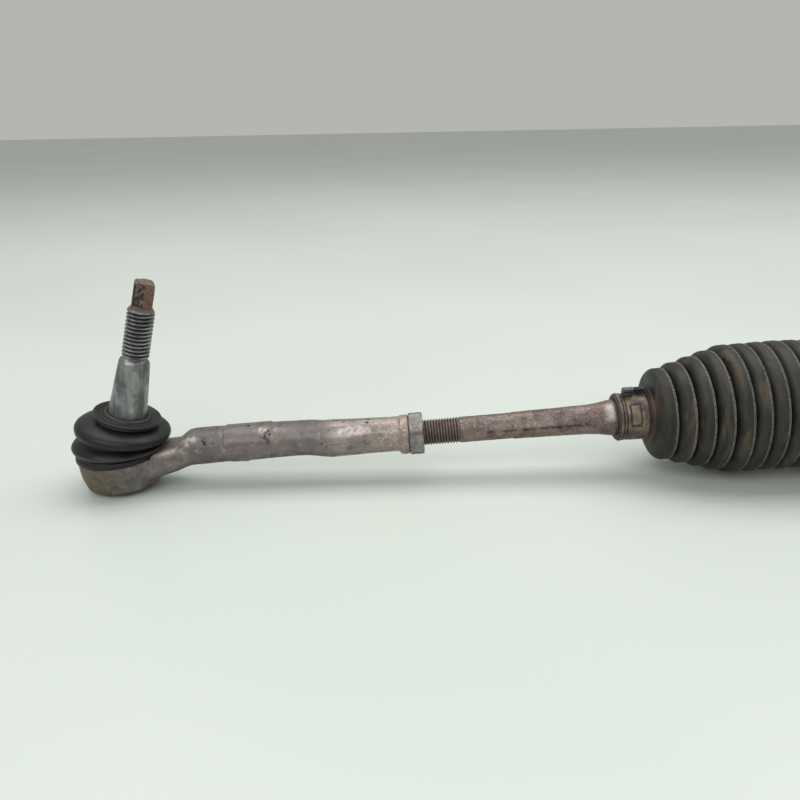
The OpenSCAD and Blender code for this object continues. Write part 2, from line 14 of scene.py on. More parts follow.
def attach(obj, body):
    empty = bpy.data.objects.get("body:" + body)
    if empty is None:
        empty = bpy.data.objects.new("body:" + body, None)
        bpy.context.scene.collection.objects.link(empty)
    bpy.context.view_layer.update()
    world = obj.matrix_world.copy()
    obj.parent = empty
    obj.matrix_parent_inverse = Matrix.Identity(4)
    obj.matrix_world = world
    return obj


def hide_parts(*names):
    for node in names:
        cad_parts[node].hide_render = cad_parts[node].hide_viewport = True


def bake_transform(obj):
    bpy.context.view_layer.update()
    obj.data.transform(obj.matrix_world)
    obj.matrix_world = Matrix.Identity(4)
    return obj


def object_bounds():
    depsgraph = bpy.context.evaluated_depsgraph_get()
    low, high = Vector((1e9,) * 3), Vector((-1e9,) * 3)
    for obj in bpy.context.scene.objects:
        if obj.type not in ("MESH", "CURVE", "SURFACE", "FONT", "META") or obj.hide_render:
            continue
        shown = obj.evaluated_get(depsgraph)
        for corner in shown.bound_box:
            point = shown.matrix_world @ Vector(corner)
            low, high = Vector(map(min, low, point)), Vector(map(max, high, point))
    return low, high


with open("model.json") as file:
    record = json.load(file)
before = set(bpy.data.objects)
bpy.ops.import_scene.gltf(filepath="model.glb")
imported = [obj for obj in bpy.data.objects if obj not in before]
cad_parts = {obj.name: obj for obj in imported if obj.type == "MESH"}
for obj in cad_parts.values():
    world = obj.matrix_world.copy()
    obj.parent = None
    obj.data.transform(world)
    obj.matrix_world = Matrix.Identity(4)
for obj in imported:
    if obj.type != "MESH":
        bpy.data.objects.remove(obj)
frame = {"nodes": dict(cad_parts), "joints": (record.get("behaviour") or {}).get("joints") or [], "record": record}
cad_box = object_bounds()

# ---- Frames ----

MM = 0.001
SIDES = ("left", "right")
MIRROR = Matrix.Diagonal((-1, 1, 1, 1))
UP = Vector((0, 0, 1))
BACK = Vector((0, 1, 0))
joints = {j["name"]: j for j in frame["joints"]}


def joint_pos(name):
    return Vector(joints[name]["pos_m"])


def joint_axis(name):
    return Vector(joints[name]["axis"]).normalized()


def local_frame(origin, x, y, z):
    """Matrix from millimetres in a local frame to metres in the row frame."""
    m = Matrix((x, y, z)).transposed().to_4x4()
    m.translation = origin
    return m @ Matrix.Scale(MM, 4)


inner_ball = joint_pos("tie_rod_swing_left")
outer_ball = joint_pos("stud_tilt_left")
outwards = joint_axis("toe_adjust_left")
rod_up = joint_axis("tie_rod_sweep_left")
stud_axis = joint_axis("stud_spin_left")

# Local Z runs outwards along the rod and local X is up, from the inner ball
ROD = local_frame(inner_ball, rod_up, BACK, outwards)
# Local Z runs outwards along the rack and local X is up, from the inner ball
RACK_END = local_frame(inner_ball, UP, BACK, Vector((-1, 0, 0)))
# Local Z is up and local X points towards the gear, from the outer ball
SOCKET = local_frame(outer_ball, -outwards, BACK, rod_up)
STUD = local_frame(outer_ball, BACK.cross(stud_axis), BACK, stud_axis)
DROOP = math.atan2(-outwards.z, -outwards.x)
STUD_TILT = rod_up.angle(stud_axis)


def on_side(matrix, side):
    return matrix if side == "left" else MIRROR @ matrix


# ---- Shapes ----


def smooth(t):
    t = np.clip(t, 0, 1)
    return t * t * (3 - 2 * t)


def dense(outline, step):
    """The same outline with extra points, no more than step apart."""
    points = [outline[0]]
    for a, b in zip(outline, outline[1:]):
        n = max(1, math.ceil(math.dist(a, b) / step))
        points += [tuple(a[k] + (b[k] - a[k]) * i / n for k in range(len(a))) for i in range(1, n + 1)]
    return points


def revolve(outline, columns=96, shape=None):
    """Rings of points round Z. shape(r, z, angle) may change a ring's radius."""
    r, z = (np.array(v, float)[:, None] for v in zip(*outline))
    a = np.arange(columns)[None, :] * 2 * math.pi / columns
    radius = shape(r, z, a) if shape else r + 0 * a
    return np.stack([radius * np.cos(a), radius * np.sin(a), z + 0 * a], axis=-1)


def new_object(name, points, faces, matrix, look, sharp=38, painted_light_and_wear=None):
    """A mesh object from points in a local frame."""
    m = np.array(matrix)
    points = np.asarray(points, float).reshape(-1, 3) @ m[:3, :3].T + m[:3, 3]
    if matrix.determinant() < 0:
        faces = [f[::-1] for f in faces]
    mesh = bpy.data.meshes.new(name)
    mesh.from_pydata(points.tolist(), [], faces)
    mesh.validate()
    mesh.shade_smooth()
    mesh.set_sharp_from_angle(angle=math.radians(sharp))
    if painted_light_and_wear is not None:
        mesh.attributes.new("painted_light_and_wear", "FLOAT", "POINT").data.foreach_set("value", np.float32(painted_light_and_wear).ravel())
    if look:
        mesh.materials.append(look)
    obj = bpy.data.objects.new(name, mesh)
    bpy.context.collection.objects.link(obj)
    return obj


def ring_faces(rings, columns, loop):
    """Quads between neighbouring rings of points. A loop also joins the last ring to the first."""
    faces = []
    for i in range(rings if loop else rings - 1):
        a, b = i * columns, (i + 1) % rings * columns
        for j in range(columns):
            k = (j + 1) % columns
            faces.append((a + j, a + k, b + k, b + j))
    return faces


def solid(name, grid, matrix, look, loop=False, painted_light_and_wear=None, sharp=38):
    """A closed solid from rings of points: its ends are capped, or it closes on itself."""
    rings, columns = grid.shape[:2]
    points = grid.reshape(-1, 3)
    faces = ring_faces(rings, columns, loop)
    if not loop:
        n = len(points)
        points = np.vstack([points, grid[0].mean(0), grid[-1].mean(0)])
        last = (rings - 1) * columns
        for j in range(columns):
            k = (j + 1) % columns
            faces += [(n, k, j), (n + 1, last + j, last + k)]
        if painted_light_and_wear is not None:
            painted_light_and_wear = np.append(painted_light_and_wear.ravel(), [painted_light_and_wear[0].mean(), painted_light_and_wear[-1].mean()])
    return new_object(name, points, faces, matrix, look, sharp, painted_light_and_wear)


def thread_depth(z, a, start, end, pitch, depth, hand=1):
    """How far a screw thread's surface lies under its crests at height z and angle a."""
    turn = ((z - start) / pitch - hand * a / (2 * math.pi)) % 1
    flank = np.clip((np.abs(2 * turn - 1) - 0.14) / 0.72, 0, 1)
    runs = smooth((z - start) / pitch + 0.2) * smooth((end - z) / pitch + 0.2)
    return depth * flank * runs, flank * runs


def hexagon_radius(a, flats, turn=0.0):
    sector = math.pi / 3
    return flats / 2 / np.cos((a - turn) % sector - sector / 2)


def evaluated(obj, name):
    """A new object with obj's modifiers applied. obj is removed."""
    graph = bpy.context.evaluated_depsgraph_get()
    mesh = bpy.data.meshes.new_from_object(obj.evaluated_get(graph))
    made = bpy.data.objects.new(name, mesh)
    bpy.context.collection.objects.link(made)
    bpy.data.objects.remove(obj)
    return made


def fused(name, parts, voxel, passes):
    """One closed mesh from overlapping solids, its corners rounded like a casting's."""
    bpy.ops.object.select_all(action="DESELECT")
    for part in parts:
        part.select_set(True)
    bpy.context.view_layer.objects.active = parts[0]
    if len(parts) > 1:
        bpy.ops.object.join()
    remesh = parts[0].modifiers.new("Remesh", "REMESH")
    remesh.mode = "VOXEL"
    remesh.voxel_size = voxel * MM
    soften = parts[0].modifiers.new("Smooth", "SMOOTH")
    soften.factor = 0.5
    soften.iterations = passes
    return evaluated(parts[0], name)


def cut(obj, cutters):
    """obj with the cutters taken out of it. The cutters are removed."""
    for cutter in cutters:
        b = obj.modifiers.new("Cut", "BOOLEAN")
        b.operation = "DIFFERENCE"
        b.solver = "EXACT"
        b.object = cutter
    name = obj.name
    obj.name = name + "_uncut"
    made = evaluated(obj, name)
    for cutter in cutters:
        bpy.data.objects.remove(cutter)
    return made


def mirrored(obj, name):
    """obj's mirror image at the right end."""
    mesh = obj.data.copy()
    mesh.transform(MIRROR)
    mesh.flip_normals()
    made = bpy.data.objects.new(name, mesh)
    bpy.context.collection.objects.link(made)
    return made


def vertices_in(obj, matrix):
    """obj's vertices in a local frame, in millimetres."""
    points = np.empty(len(obj.data.vertices) * 3)
    obj.data.vertices.foreach_get("co", points)
    m = np.array(matrix.inverted())
    return points.reshape(-1, 3) @ m[:3, :3].T + m[:3, 3]


def set_vertices(obj, matrix, points):
    m = np.array(matrix)
    obj.data.vertices.foreach_set("co", (points @ m[:3, :3].T + m[:3, 3]).ravel())
    obj.data.update()


def normals_in(obj, matrix):
    n = np.empty(len(obj.data.vertices) * 3)
    obj.data.vertex_normals.foreach_get("vector", n)
    m = np.array(matrix.to_3x3().normalized())
    return n.reshape(-1, 3) @ m


def lumps(points, size, seed=0.0):
    """Smooth noise at each point, about -1 to 1, for lumps of about that size."""
    shift = Vector((seed, 2.7 * seed, 5.1 * seed))
    return np.array([noise.noise(Vector(p) / size + shift) for p in points])


# ---- Materials ----


def srgb(r, g, b):
    """A linear colour from the usual 0 to 255 values."""
    def linear(v):
        v /= 255
        return v / 12.92 if v <= 0.04045 else ((v + 0.055) / 1.055) ** 2.4
    return (linear(r), linear(g), linear(b), 1)


class Look:
    """Builds one procedural material a node at a time."""

    def __init__(self, name, metallic=0.0, roughness=0.5, specular=0.5):
        self.material = bpy.data.materials.new(name)
        self.material.use_nodes = True
        self.tree = self.material.node_tree
        self.shader = self.tree.nodes["Principled BSDF"]
        self.shader.inputs["Metallic"].default_value = metallic
        self.shader.inputs["Roughness"].default_value = roughness
        self.shader.inputs["Specular IOR Level"].default_value = specular
        self.place = self.node("ShaderNodeTexCoord").outputs["Object"]
        self.height = None

    def node(self, kind, inputs=(), **settings):
        n = self.tree.nodes.new(kind)
        for key, value in settings.items():
            setattr(n, key, value)
        for key, value in dict(inputs).items():
            if isinstance(value, bpy.types.NodeSocket):
                self.tree.links.new(value, n.inputs[key])
            else:
                n.inputs[key].default_value = value
        return n

    def noise(self, size, detail=4.0, rough=0.6, stretch=(1, 1, 1), seed=0.0, twist=0.0):
        """Noise from 0 to 1 with features of about size millimetres."""
        shrink = [1 / s for s in stretch]
        mapped = self.node("ShaderNodeMapping", {"Vector": self.place, "Scale": shrink,
                                                 "Location": (seed, seed * 1.7, seed * 0.6)})
        n = self.node("ShaderNodeTexNoise", {"Vector": mapped.outputs[0], "Scale": 1 / (size * MM),
                                             "Detail": detail, "Roughness": rough, "Distortion": twist})
        return n.outputs["Fac"]

    def attribute(self, name):
        return self.node("ShaderNodeAttribute", attribute_name=name).outputs["Fac"]

    def span(self, value, low, high, to_low=0.0, to_high=1.0):
        """value's stretch from low to high, spread smoothly over to_low to to_high."""
        n = self.node("ShaderNodeMapRange", {"Value": value, "From Min": low, "From Max": high,
                                             "To Min": to_low, "To Max": to_high},
                      interpolation_type="SMOOTHSTEP")
        return n.outputs["Result"]

    def maths(self, operation, a, b=0.0):
        return self.node("ShaderNodeMath", {0: a, 1: b}, operation=operation).outputs[0]

    def mix(self, share, a, b, blend="MIX"):
        n = self.node("ShaderNodeMix", {"Factor": share, 6: a, 7: b}, data_type="RGBA", blend_type=blend)
        return n.outputs[2]

    def add_height(self, value, depth):
        """Raises the surface by depth millimetres where value is 1."""
        step = self.maths("MULTIPLY", value, depth * MM)
        self.height = step if self.height is None else self.maths("ADD", self.height, step)

    def finish(self, colour, roughness=None, metallic=None):
        self.tree.links.new(colour, self.shader.inputs["Base Color"])
        if roughness is not None:
            self.tree.links.new(roughness, self.shader.inputs["Roughness"])
        if metallic is not None:
            self.tree.links.new(metallic, self.shader.inputs["Metallic"])
        if self.height is not None:
            bump = self.node("ShaderNodeBump", {"Height": self.height, "Distance": 1.0, "Strength": 1.0})
            self.tree.links.new(bump.outputs[0], self.shader.inputs["Normal"])
        return self.material


def forged_steel():
    """Grey-mauve forging with stains, long streaks and scattered dark specks."""
    k = Look("forged_steel", metallic=0.45, roughness=0.5)
    streaks = k.noise(4.5, stretch=(9, 1, 1), detail=5)
    patches = k.noise(24, detail=3, twist=0.6)
    grain = k.noise(0.8, detail=3)
    colour = k.mix(k.span(patches, 0.38, 0.62), srgb(152, 140, 138), srgb(130, 124, 121))
    colour = k.mix(k.span(streaks, 0.5, 0.72, 0, 0.6), colour, srgb(180, 170, 166))
    colour = k.mix(k.span(streaks, 0.48, 0.3, 0, 0.65), colour, srgb(84, 78, 74))
    dull = k.mix(k.span(patches, 0.4, 0.6), srgb(104, 96, 94), srgb(88, 84, 82))
    colour = k.mix(k.maths("MULTIPLY", k.attribute("dull"), 0.72), colour, dull)
    pits = k.noise(1.5, detail=5, rough=0.75)
    mottle = k.noise(5.5, detail=7, rough=0.72, seed=6.3)
    colour = k.mix(k.span(mottle, 0.52, 0.66, 0, 0.6), colour, srgb(74, 64, 58))
    colour = k.mix(k.span(mottle, 0.46, 0.33, 0, 0.5), colour, srgb(172, 160, 154))
    beige = k.attribute("beige")
    colour = k.mix(k.maths("MULTIPLY", beige, 0.5), colour, srgb(150, 132, 116))
    colour = k.mix(k.maths("MULTIPLY", beige, k.span(pits, 0.5, 0.36, 0, 0.7)), colour, srgb(206, 192, 176))
    colour = k.mix(k.maths("MULTIPLY", beige, k.span(pits, 0.56, 0.68, 0, 0.8)), colour, srgb(92, 72, 60))
    stain = k.noise(6, detail=7, rough=0.7, seed=3.1, twist=0.8)
    dirt = k.attribute("dirt")
    colour = k.mix(k.maths("MULTIPLY", dirt, 0.85), colour, srgb(98, 89, 68))
    colour = k.mix(k.maths("MULTIPLY", k.span(stain, 0.5, 0.62), dirt), colour, srgb(56, 48, 34))
    colour = k.mix(k.maths("MULTIPLY", k.span(pits, 0.44, 0.3, 0, 0.5), dirt), colour, srgb(150, 138, 108))
    colour = k.mix(k.span(grain, 0.62, 0.75, 0, 0.45), colour, srgb(64, 58, 54))
    colour = k.mix(k.span(grain, 0.4, 0.27, 0, 0.25), colour, srgb(190, 181, 175))
    # Bright scuffs, and a painted highlight along the parting line
    colour = k.mix(k.attribute("scuffs_and_painted_highlight"), colour, srgb(222, 211, 203))
    colour = k.mix(k.attribute("grime_and_painted_shade"), colour, srgb(14, 12, 12))
    k.add_height(streaks, 0.12)
    k.add_height(grain, 0.07)
    k.add_height(patches, 0.3)
    return k.finish(colour, k.span(patches, 0.3, 0.7, 0.42, 0.6))


def rusty_rod():
    """Brownish steel, densely speckled with beige scale and dark rust."""
    k = Look("rod_steel", metallic=0.4, roughness=0.55)
    fine = k.noise(1.3, detail=5, rough=0.7)
    patches = k.noise(11, detail=3, stretch=(2.2, 1, 1))
    broad = k.noise(30, detail=2, seed=1.3)
    colour = k.mix(k.span(patches, 0.4, 0.6), srgb(104, 88, 84), srgb(128, 114, 110))
    colour = k.mix(k.span(broad, 0.45, 0.65, 0, 0.6), colour, srgb(116, 98, 76))
    colour = k.mix(k.span(fine, 0.55, 0.68, 0, 0.85), colour, srgb(58, 42, 38))
    colour = k.mix(k.span(fine, 0.45, 0.32, 0, 0.6), colour, srgb(176, 160, 150))
    # Painted highlight on the front of the rod's flare, near white
    colour = k.mix(k.attribute("scuffs_and_painted_highlight"), colour, srgb(238, 232, 230))
    # Painted shade in the thread's roots
    colour = k.mix(k.attribute("painted_light_and_wear"), colour, srgb(38, 30, 27))
    colour = k.mix(k.attribute("grime_and_painted_shade"), colour, srgb(24, 20, 20))
    k.add_height(fine, 0.16)
    k.add_height(patches, 0.2)
    return k.finish(colour, k.span(fine, 0.3, 0.7, 0.4, 0.68))


def nut_steel():
    k = Look("nut_steel", metallic=0.5, roughness=0.48)
    grain = k.noise(0.9, detail=4)
    patches = k.noise(7, detail=3)
    colour = k.mix(k.span(patches, 0.4, 0.6), srgb(142, 138, 135), srgb(116, 111, 107))
    colour = k.mix(k.span(grain, 0.6, 0.72, 0, 0.6), colour, srgb(72, 60, 55))
    colour = k.mix(k.span(grain, 0.42, 0.3, 0, 0.35), colour, srgb(205, 200, 196))
    colour = k.mix(k.attribute("painted_light_and_wear"), colour, srgb(58, 46, 43))
    k.add_height(grain, 0.1)
    return k.finish(colour, k.span(patches, 0.3, 0.7, 0.4, 0.58))


def stud_steel():
    """Satin zinc-grey steel with soft streaks along its axis; rust on the hexagon."""
    k = Look("stud_steel", metallic=0.75, roughness=0.36)
    streaks = k.noise(2.6, stretch=(1, 1, 6), detail=4)
    patches = k.noise(9, detail=3)
    grain = k.noise(0.7, detail=3)
    rust_grain = k.noise(1.2, detail=5, rough=0.75)
    colour = k.mix(k.span(streaks, 0.3, 0.7), srgb(116, 118, 117), srgb(152, 154, 154))
    colour = k.mix(k.span(patches, 0.42, 0.66, 0, 0.8), colour, srgb(84, 86, 87))
    colour = k.mix(k.span(grain, 0.62, 0.74, 0, 0.3), colour, srgb(176, 178, 178))
    # Painted shade in the thread's roots
    colour = k.mix(k.attribute("painted_light_and_wear"), colour, srgb(34, 33, 34))
    rust = k.mix(k.span(rust_grain, 0.36, 0.6), srgb(128, 106, 94), srgb(92, 74, 62))
    rust = k.mix(k.span(rust_grain, 0.58, 0.72), rust, srgb(46, 34, 26))
    rusty = k.attribute("rust")
    colour = k.mix(rusty, colour, rust)
    # Painted shade on the hexagon's left face, broken into patches
    colour = k.mix(k.attribute("grime_and_painted_shade"), colour, srgb(22, 17, 12))
    k.add_height(k.maths("MULTIPLY", rust_grain, rusty), 0.5)
    k.add_height(streaks, 0.04)
    metal = k.span(rusty, 0, 1, 0.75, 0.15)
    satin = k.span(patches, 0.3, 0.7, 0.3, 0.44)
    rough = k.maths("MAXIMUM", satin, k.span(rusty, 0, 1, 0.0, 0.72))
    return k.finish(colour, rough, metal)


def bellows_rubber():
    """Charcoal rubber with large brown dusty patches, and pale lines along its crests that are painted highlight
    broken up like wear.
    """
    k = Look("bellows_rubber", roughness=0.5, specular=0.3)
    dust = k.noise(26, detail=4, rough=0.55, stretch=(0.35, 1.4, 1.4), twist=0.8)
    tone = k.noise(8, detail=3, stretch=(0.5, 2, 2), seed=2.2)
    grain = k.noise(1.1, detail=4, rough=0.7)
    colour = k.mix(k.span(tone, 0.35, 0.65), srgb(29, 29, 27), srgb(46, 46, 40))
    colour = k.mix(k.span(dust, 0.5, 0.68, 0, 0.8), colour, srgb(84, 71, 60))
    colour = k.mix(k.span(dust, 0.45, 0.28, 0, 0.5), colour, srgb(27, 28, 31))
    colour = k.mix(k.span(grain, 0.6, 0.76, 0, 0.3), colour, srgb(96, 90, 82))
    # Pale lines along the crest beads: painted highlight, broken up like rubbed wear
    painted_light_and_wear = k.maths("MULTIPLY", k.attribute("painted_light_and_wear"), k.span(grain, 0.3, 0.66, 0.12, 0.85))
    colour = k.mix(painted_light_and_wear, colour, srgb(140, 138, 134))
    k.add_height(grain, 0.05)
    k.add_height(tone, 0.25)
    return k.finish(colour, k.span(dust, 0.3, 0.7, 0.44, 0.68))


def rubber(name, dark, light, roughness, dusty=0.4):
    k = Look(name, roughness=roughness, specular=0.3)
    cloud = k.noise(9, detail=4, twist=0.5)
    grain = k.noise(0.7, detail=3)
    colour = k.mix(k.span(cloud, 0.35, 0.68), dark, light)
    colour = k.mix(k.span(grain, 0.62, 0.8, 0, dusty), colour, srgb(128, 124, 116))
    # Painted highlight on the dust boot's fold rims
    colour = k.mix(k.maths("MULTIPLY", k.attribute("painted_light_and_wear"), 0.4), colour, srgb(96, 96, 97))
    k.add_height(grain, 0.03)
    k.add_height(cloud, 0.15)
    return k.finish(colour, k.span(cloud, 0.3, 0.7, roughness - 0.07, roughness + 0.1))


def cast_aluminium():
    """Dull as-cast aluminium with oxide bloom, grime in patches and a fine sandy skin."""
    k = Look("cast_aluminium", metallic=0.65, roughness=0.52)
    skin = k.noise(0.9, detail=4, rough=0.7)
    bloom = k.noise(34, detail=5, twist=0.7)
    grime = k.noise(15, detail=5, seed=4.0)
    colour = k.mix(k.span(bloom, 0.35, 0.65), srgb(150, 150, 149), srgb(184, 184, 182))
    colour = k.mix(k.span(grime, 0.54, 0.72, 0, 0.75), colour, srgb(104, 98, 90))
    colour = k.mix(k.span(skin, 0.6, 0.75, 0, 0.35), colour, srgb(90, 88, 85))
    k.add_height(skin, 0.12)
    k.add_height(grime, 0.25)
    return k.finish(colour, k.span(bloom, 0.3, 0.7, 0.45, 0.62))


def plain_steel(name, light, dark, roughness, metallic=0.85, rust=0.0):
    """Machined or plated steel, with faint turning marks and a little staining."""
    k = Look(name, metallic=metallic, roughness=roughness)
    marks = k.noise(1.4, detail=3)
    cloud = k.noise(8, detail=4)
    colour = k.mix(k.span(cloud, 0.35, 0.65), dark, light)
    if rust:
        colour = k.mix(k.span(cloud, 0.5, 0.66, 0, rust), colour, srgb(122, 88, 62))
        colour = k.mix(k.span(marks, 0.58, 0.72, 0, rust), colour, srgb(70, 48, 38))
    k.add_height(marks, 0.03)
    return k.finish(colour, k.span(marks, 0.3, 0.7, roughness - 0.06, roughness + 0.1))


def band_steel():
    """Beige to purple-brown rusty band."""
    k = Look("band_steel", metallic=0.35, roughness=0.5)
    cloud = k.noise(6, detail=4)
    fine = k.noise(1.3, detail=5, rough=0.7)
    colour = k.mix(k.span(cloud, 0.38, 0.62), srgb(120, 106, 90), srgb(84, 70, 70))
    colour = k.mix(k.span(fine, 0.56, 0.7, 0, 0.8), colour, srgb(48, 36, 30))
    colour = k.mix(k.span(fine, 0.44, 0.3, 0, 0.5), colour, srgb(164, 148, 130))
    # Painted shade in the groove round the band's window
    colour = k.mix(k.attribute("painted_light_and_wear"), colour, srgb(26, 20, 18))
    k.add_height(fine, 0.12)
    return k.finish(colour, k.span(cloud, 0.3, 0.7, 0.4, 0.6))


def polymer():
    k = Look("bush_polymer", roughness=0.38)
    cloud = k.noise(10, detail=3)
    colour = k.mix(k.span(cloud, 0.3, 0.7), srgb(222, 215, 194), srgb(236, 231, 216))
    k.add_height(k.noise(0.8), 0.02)
    return k.finish(colour)


def bronze():
    k = Look("liner_bronze", metallic=0.8, roughness=0.4)
    cloud = k.noise(5, detail=4)
    colour = k.mix(k.span(cloud, 0.35, 0.65), srgb(160, 128, 80), srgb(120, 92, 54))
    k.add_height(k.noise(0.7), 0.03)
    return k.finish(colour, k.span(cloud, 0.3, 0.7, 0.32, 0.5))


looks = {
    "cast_aluminium": cast_aluminium(),
    "ground_steel": plain_steel("ground_steel", srgb(196, 196, 195), srgb(158, 158, 157), 0.3),
    "bearing_steel": plain_steel("bearing_steel", srgb(212, 212, 213), srgb(178, 178, 180), 0.2),
    "dark_steel": plain_steel("dark_steel", srgb(86, 86, 88), srgb(54, 54, 56), 0.42),
    "plated_steel": plain_steel("plated_steel", srgb(196, 192, 180), srgb(158, 152, 138), 0.36, rust=0.35),
    "rod_steel": rusty_rod(),
    "forged_steel": forged_steel(),
    "nut_steel": nut_steel(),
    "stud_steel": stud_steel(),
    "band_steel": band_steel(),
    "bellows_rubber": bellows_rubber(),
    "boot_rubber": rubber("boot_rubber", srgb(20, 20, 21), srgb(30, 29, 29), 0.4, 0.1),
    "mount_rubber": rubber("mount_rubber", srgb(36, 35, 33), srgb(54, 52, 49), 0.6),
    "seal_rubber": rubber("seal_rubber", srgb(30, 30, 31), srgb(46, 46, 46), 0.5),
    "bush_polymer": polymer(),
    "liner_bronze": bronze(),
}


def dress_cad_nodes():
    """Gives each CAD node the look of its material slot."""
    for part in frame["record"]["subparts"]:
        mesh = frame["nodes"][part["node"]].data
        mesh.materials.clear()
        mesh.materials.append(looks[part["material_slot"]])


def place(piece, body, slot, *nodes):
    """The piece rides on a body and stands for CAD nodes, which it hides. slot is not used."""
    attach(piece, body)
    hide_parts(*nodes)


# ---- Ball stud ----

BALL_R = 13
STUD_THREAD = (58, 83, 2.0)
STUD_THREAD_R = 6.85
STUD_END = 98
HEXAGON_AF = 10
HEXAGON_TURN = math.radians(45)


def ball_outline(radius, from_degrees, to_degrees, steps=24):
    """Points down a ball's side; the angles are measured from its top."""
    angles = np.radians(np.linspace(from_degrees, to_degrees, steps + 1))
    return [(radius * math.sin(t), radius * math.cos(t)) for t in angles]


def stud_shape(hand):
    start, end, pitch = STUD_THREAD

    def shape(r, z, a):
        depth, _ = thread_depth(z, a, start, end, pitch, 1.15, hand)
        in_thread = (z > start - 1) & (z < end + 1)
        threaded = np.minimum(r, STUD_THREAD_R - depth)
        flats = np.minimum(hexagon_radius(a, HEXAGON_AF, HEXAGON_TURN), r)
        return np.where(in_thread, threaded, np.where(z > end + 1, flats, r + 0 * a))
    return shape


def ball_stud(side):
    start, end, pitch = STUD_THREAD
    outline = ball_outline(BALL_R, 178, 38)
    outline += [(8, 10.8), (8, 15.5), (9.3, 17), (9.9, 19), (9.8, 25.6), (7.85, 53.6), (7.7, 54.8),
                (7.3, 55.9), (6.6, 56.7), (6.0, 57.2), (5.9, start)]
    thread = dense([(6.1, start), (STUD_THREAD_R, start + 0.9), (STUD_THREAD_R, end - 0.8),
                    (6.1, end + 0.2), (5.7, end + 0.9)], pitch / 14)
    tip = dense([(5.75, end + 1.1), (5.6, end + 1.6), (5.55, STUD_END - 1.8), (5.2, STUD_END - 0.9),
                 (4.4, STUD_END - 0.3), (3.2, STUD_END), (0.6, STUD_END)], 0.5)
    grid = revolve(dense(outline, 1.2) + thread[1:] + tip, 120, stud_shape(1 if side == "left" else -1))
    z = grid[..., 2]
    a = np.arctan2(grid[..., 1], grid[..., 0])
    # Painted shade in the thread's roots
    _, painted_light_and_wear = thread_depth(z, a, start, end, pitch, 1, 1 if side == "left" else -1)
    painted_light_and_wear = np.where((z > start - 0.5) & (z < end + 0.5), smooth((painted_light_and_wear - 0.58) / 0.4), 0)
    tip_part = smooth((z - end - 1.4) / 1.2)
    flat = grid.reshape(-1, 3)
    chipped = (lumps(flat, 2.1, 3) * 0.16 + lumps(flat, 0.9, 5) * 0.1).reshape(z.shape) * tip_part
    top_wear = smooth((z - STUD_END + 3) / 3) * np.minimum(0, lumps(flat, 3.2, 8).reshape(z.shape) - 0.1)
    radial = 1 + (chipped + top_wear * 1.3) / np.maximum(np.hypot(grid[..., 0], grid[..., 1]), 2)
    grid[..., 0] *= radial
    grid[..., 1] *= radial
    grid[..., 2] += top_wear * 0.9 - np.maximum(chipped, 0) * smooth((z - STUD_END + 1) / 1)
    stud = solid(f"ball_stud_worn_{side}", grid, on_side(STUD, side), looks["stud_steel"], painted_light_and_wear=painted_light_and_wear)
    set_attribute(stud, "rust", np.append(smooth((z - end + 0.3) / 0.8).ravel(), [0, 1]))
    # Painted shade on the hexagon's left face, broken into patches
    left_face = smooth((np.cos(a - HEXAGON_TURN + math.radians(150)) - 0.8) / 0.08)
    patchy = smooth((lumps(flat, 1.4, 12).reshape(z.shape) + 0.35) / 0.4) * smooth((STUD_END - 0.9 - z) / 0.6)
    set_attribute(stud, "grime_and_painted_shade", np.append((left_face * patchy * tip_part * 0.85).ravel(), [0, 0]))
    place(stud, f"stud_{side}", "stud_steel", f"ball_stud_{side}")


def set_attribute(obj, name, values):
    data = obj.data.attributes.get(name) or obj.data.attributes.new(name, "FLOAT", "POINT")
    data.data.foreach_set("value", np.float32(values).ravel())


# ---- Tie rod and jam nut ----

ROD_THREAD = (169.5, 213, 1.5)
ROD_THREAD_R = 6.92
FLATS = (119, 140.5)
FLATS_HALF = 6.7
FLATS_TURN = math.radians(35)
LIP = 87


def rod_shape(hand):
    start, end, pitch = ROD_THREAD

    def shape(r, z, a):
        depth, _ = thread_depth(z, a, start, end, pitch, 0.85, hand)
        across = a - FLATS_TURN - math.pi / 2
        to_flat = FLATS_HALF / np.maximum(np.abs(np.cos(across)), 0.05)
        on_flats = (z > FLATS[0]) & (z < FLATS[1])
        flat = np.where(on_flats, np.minimum(r, to_flat), r)
        return np.where(z > start - 0.5, np.minimum(r, ROD_THREAD_R - depth), flat)
    return shape


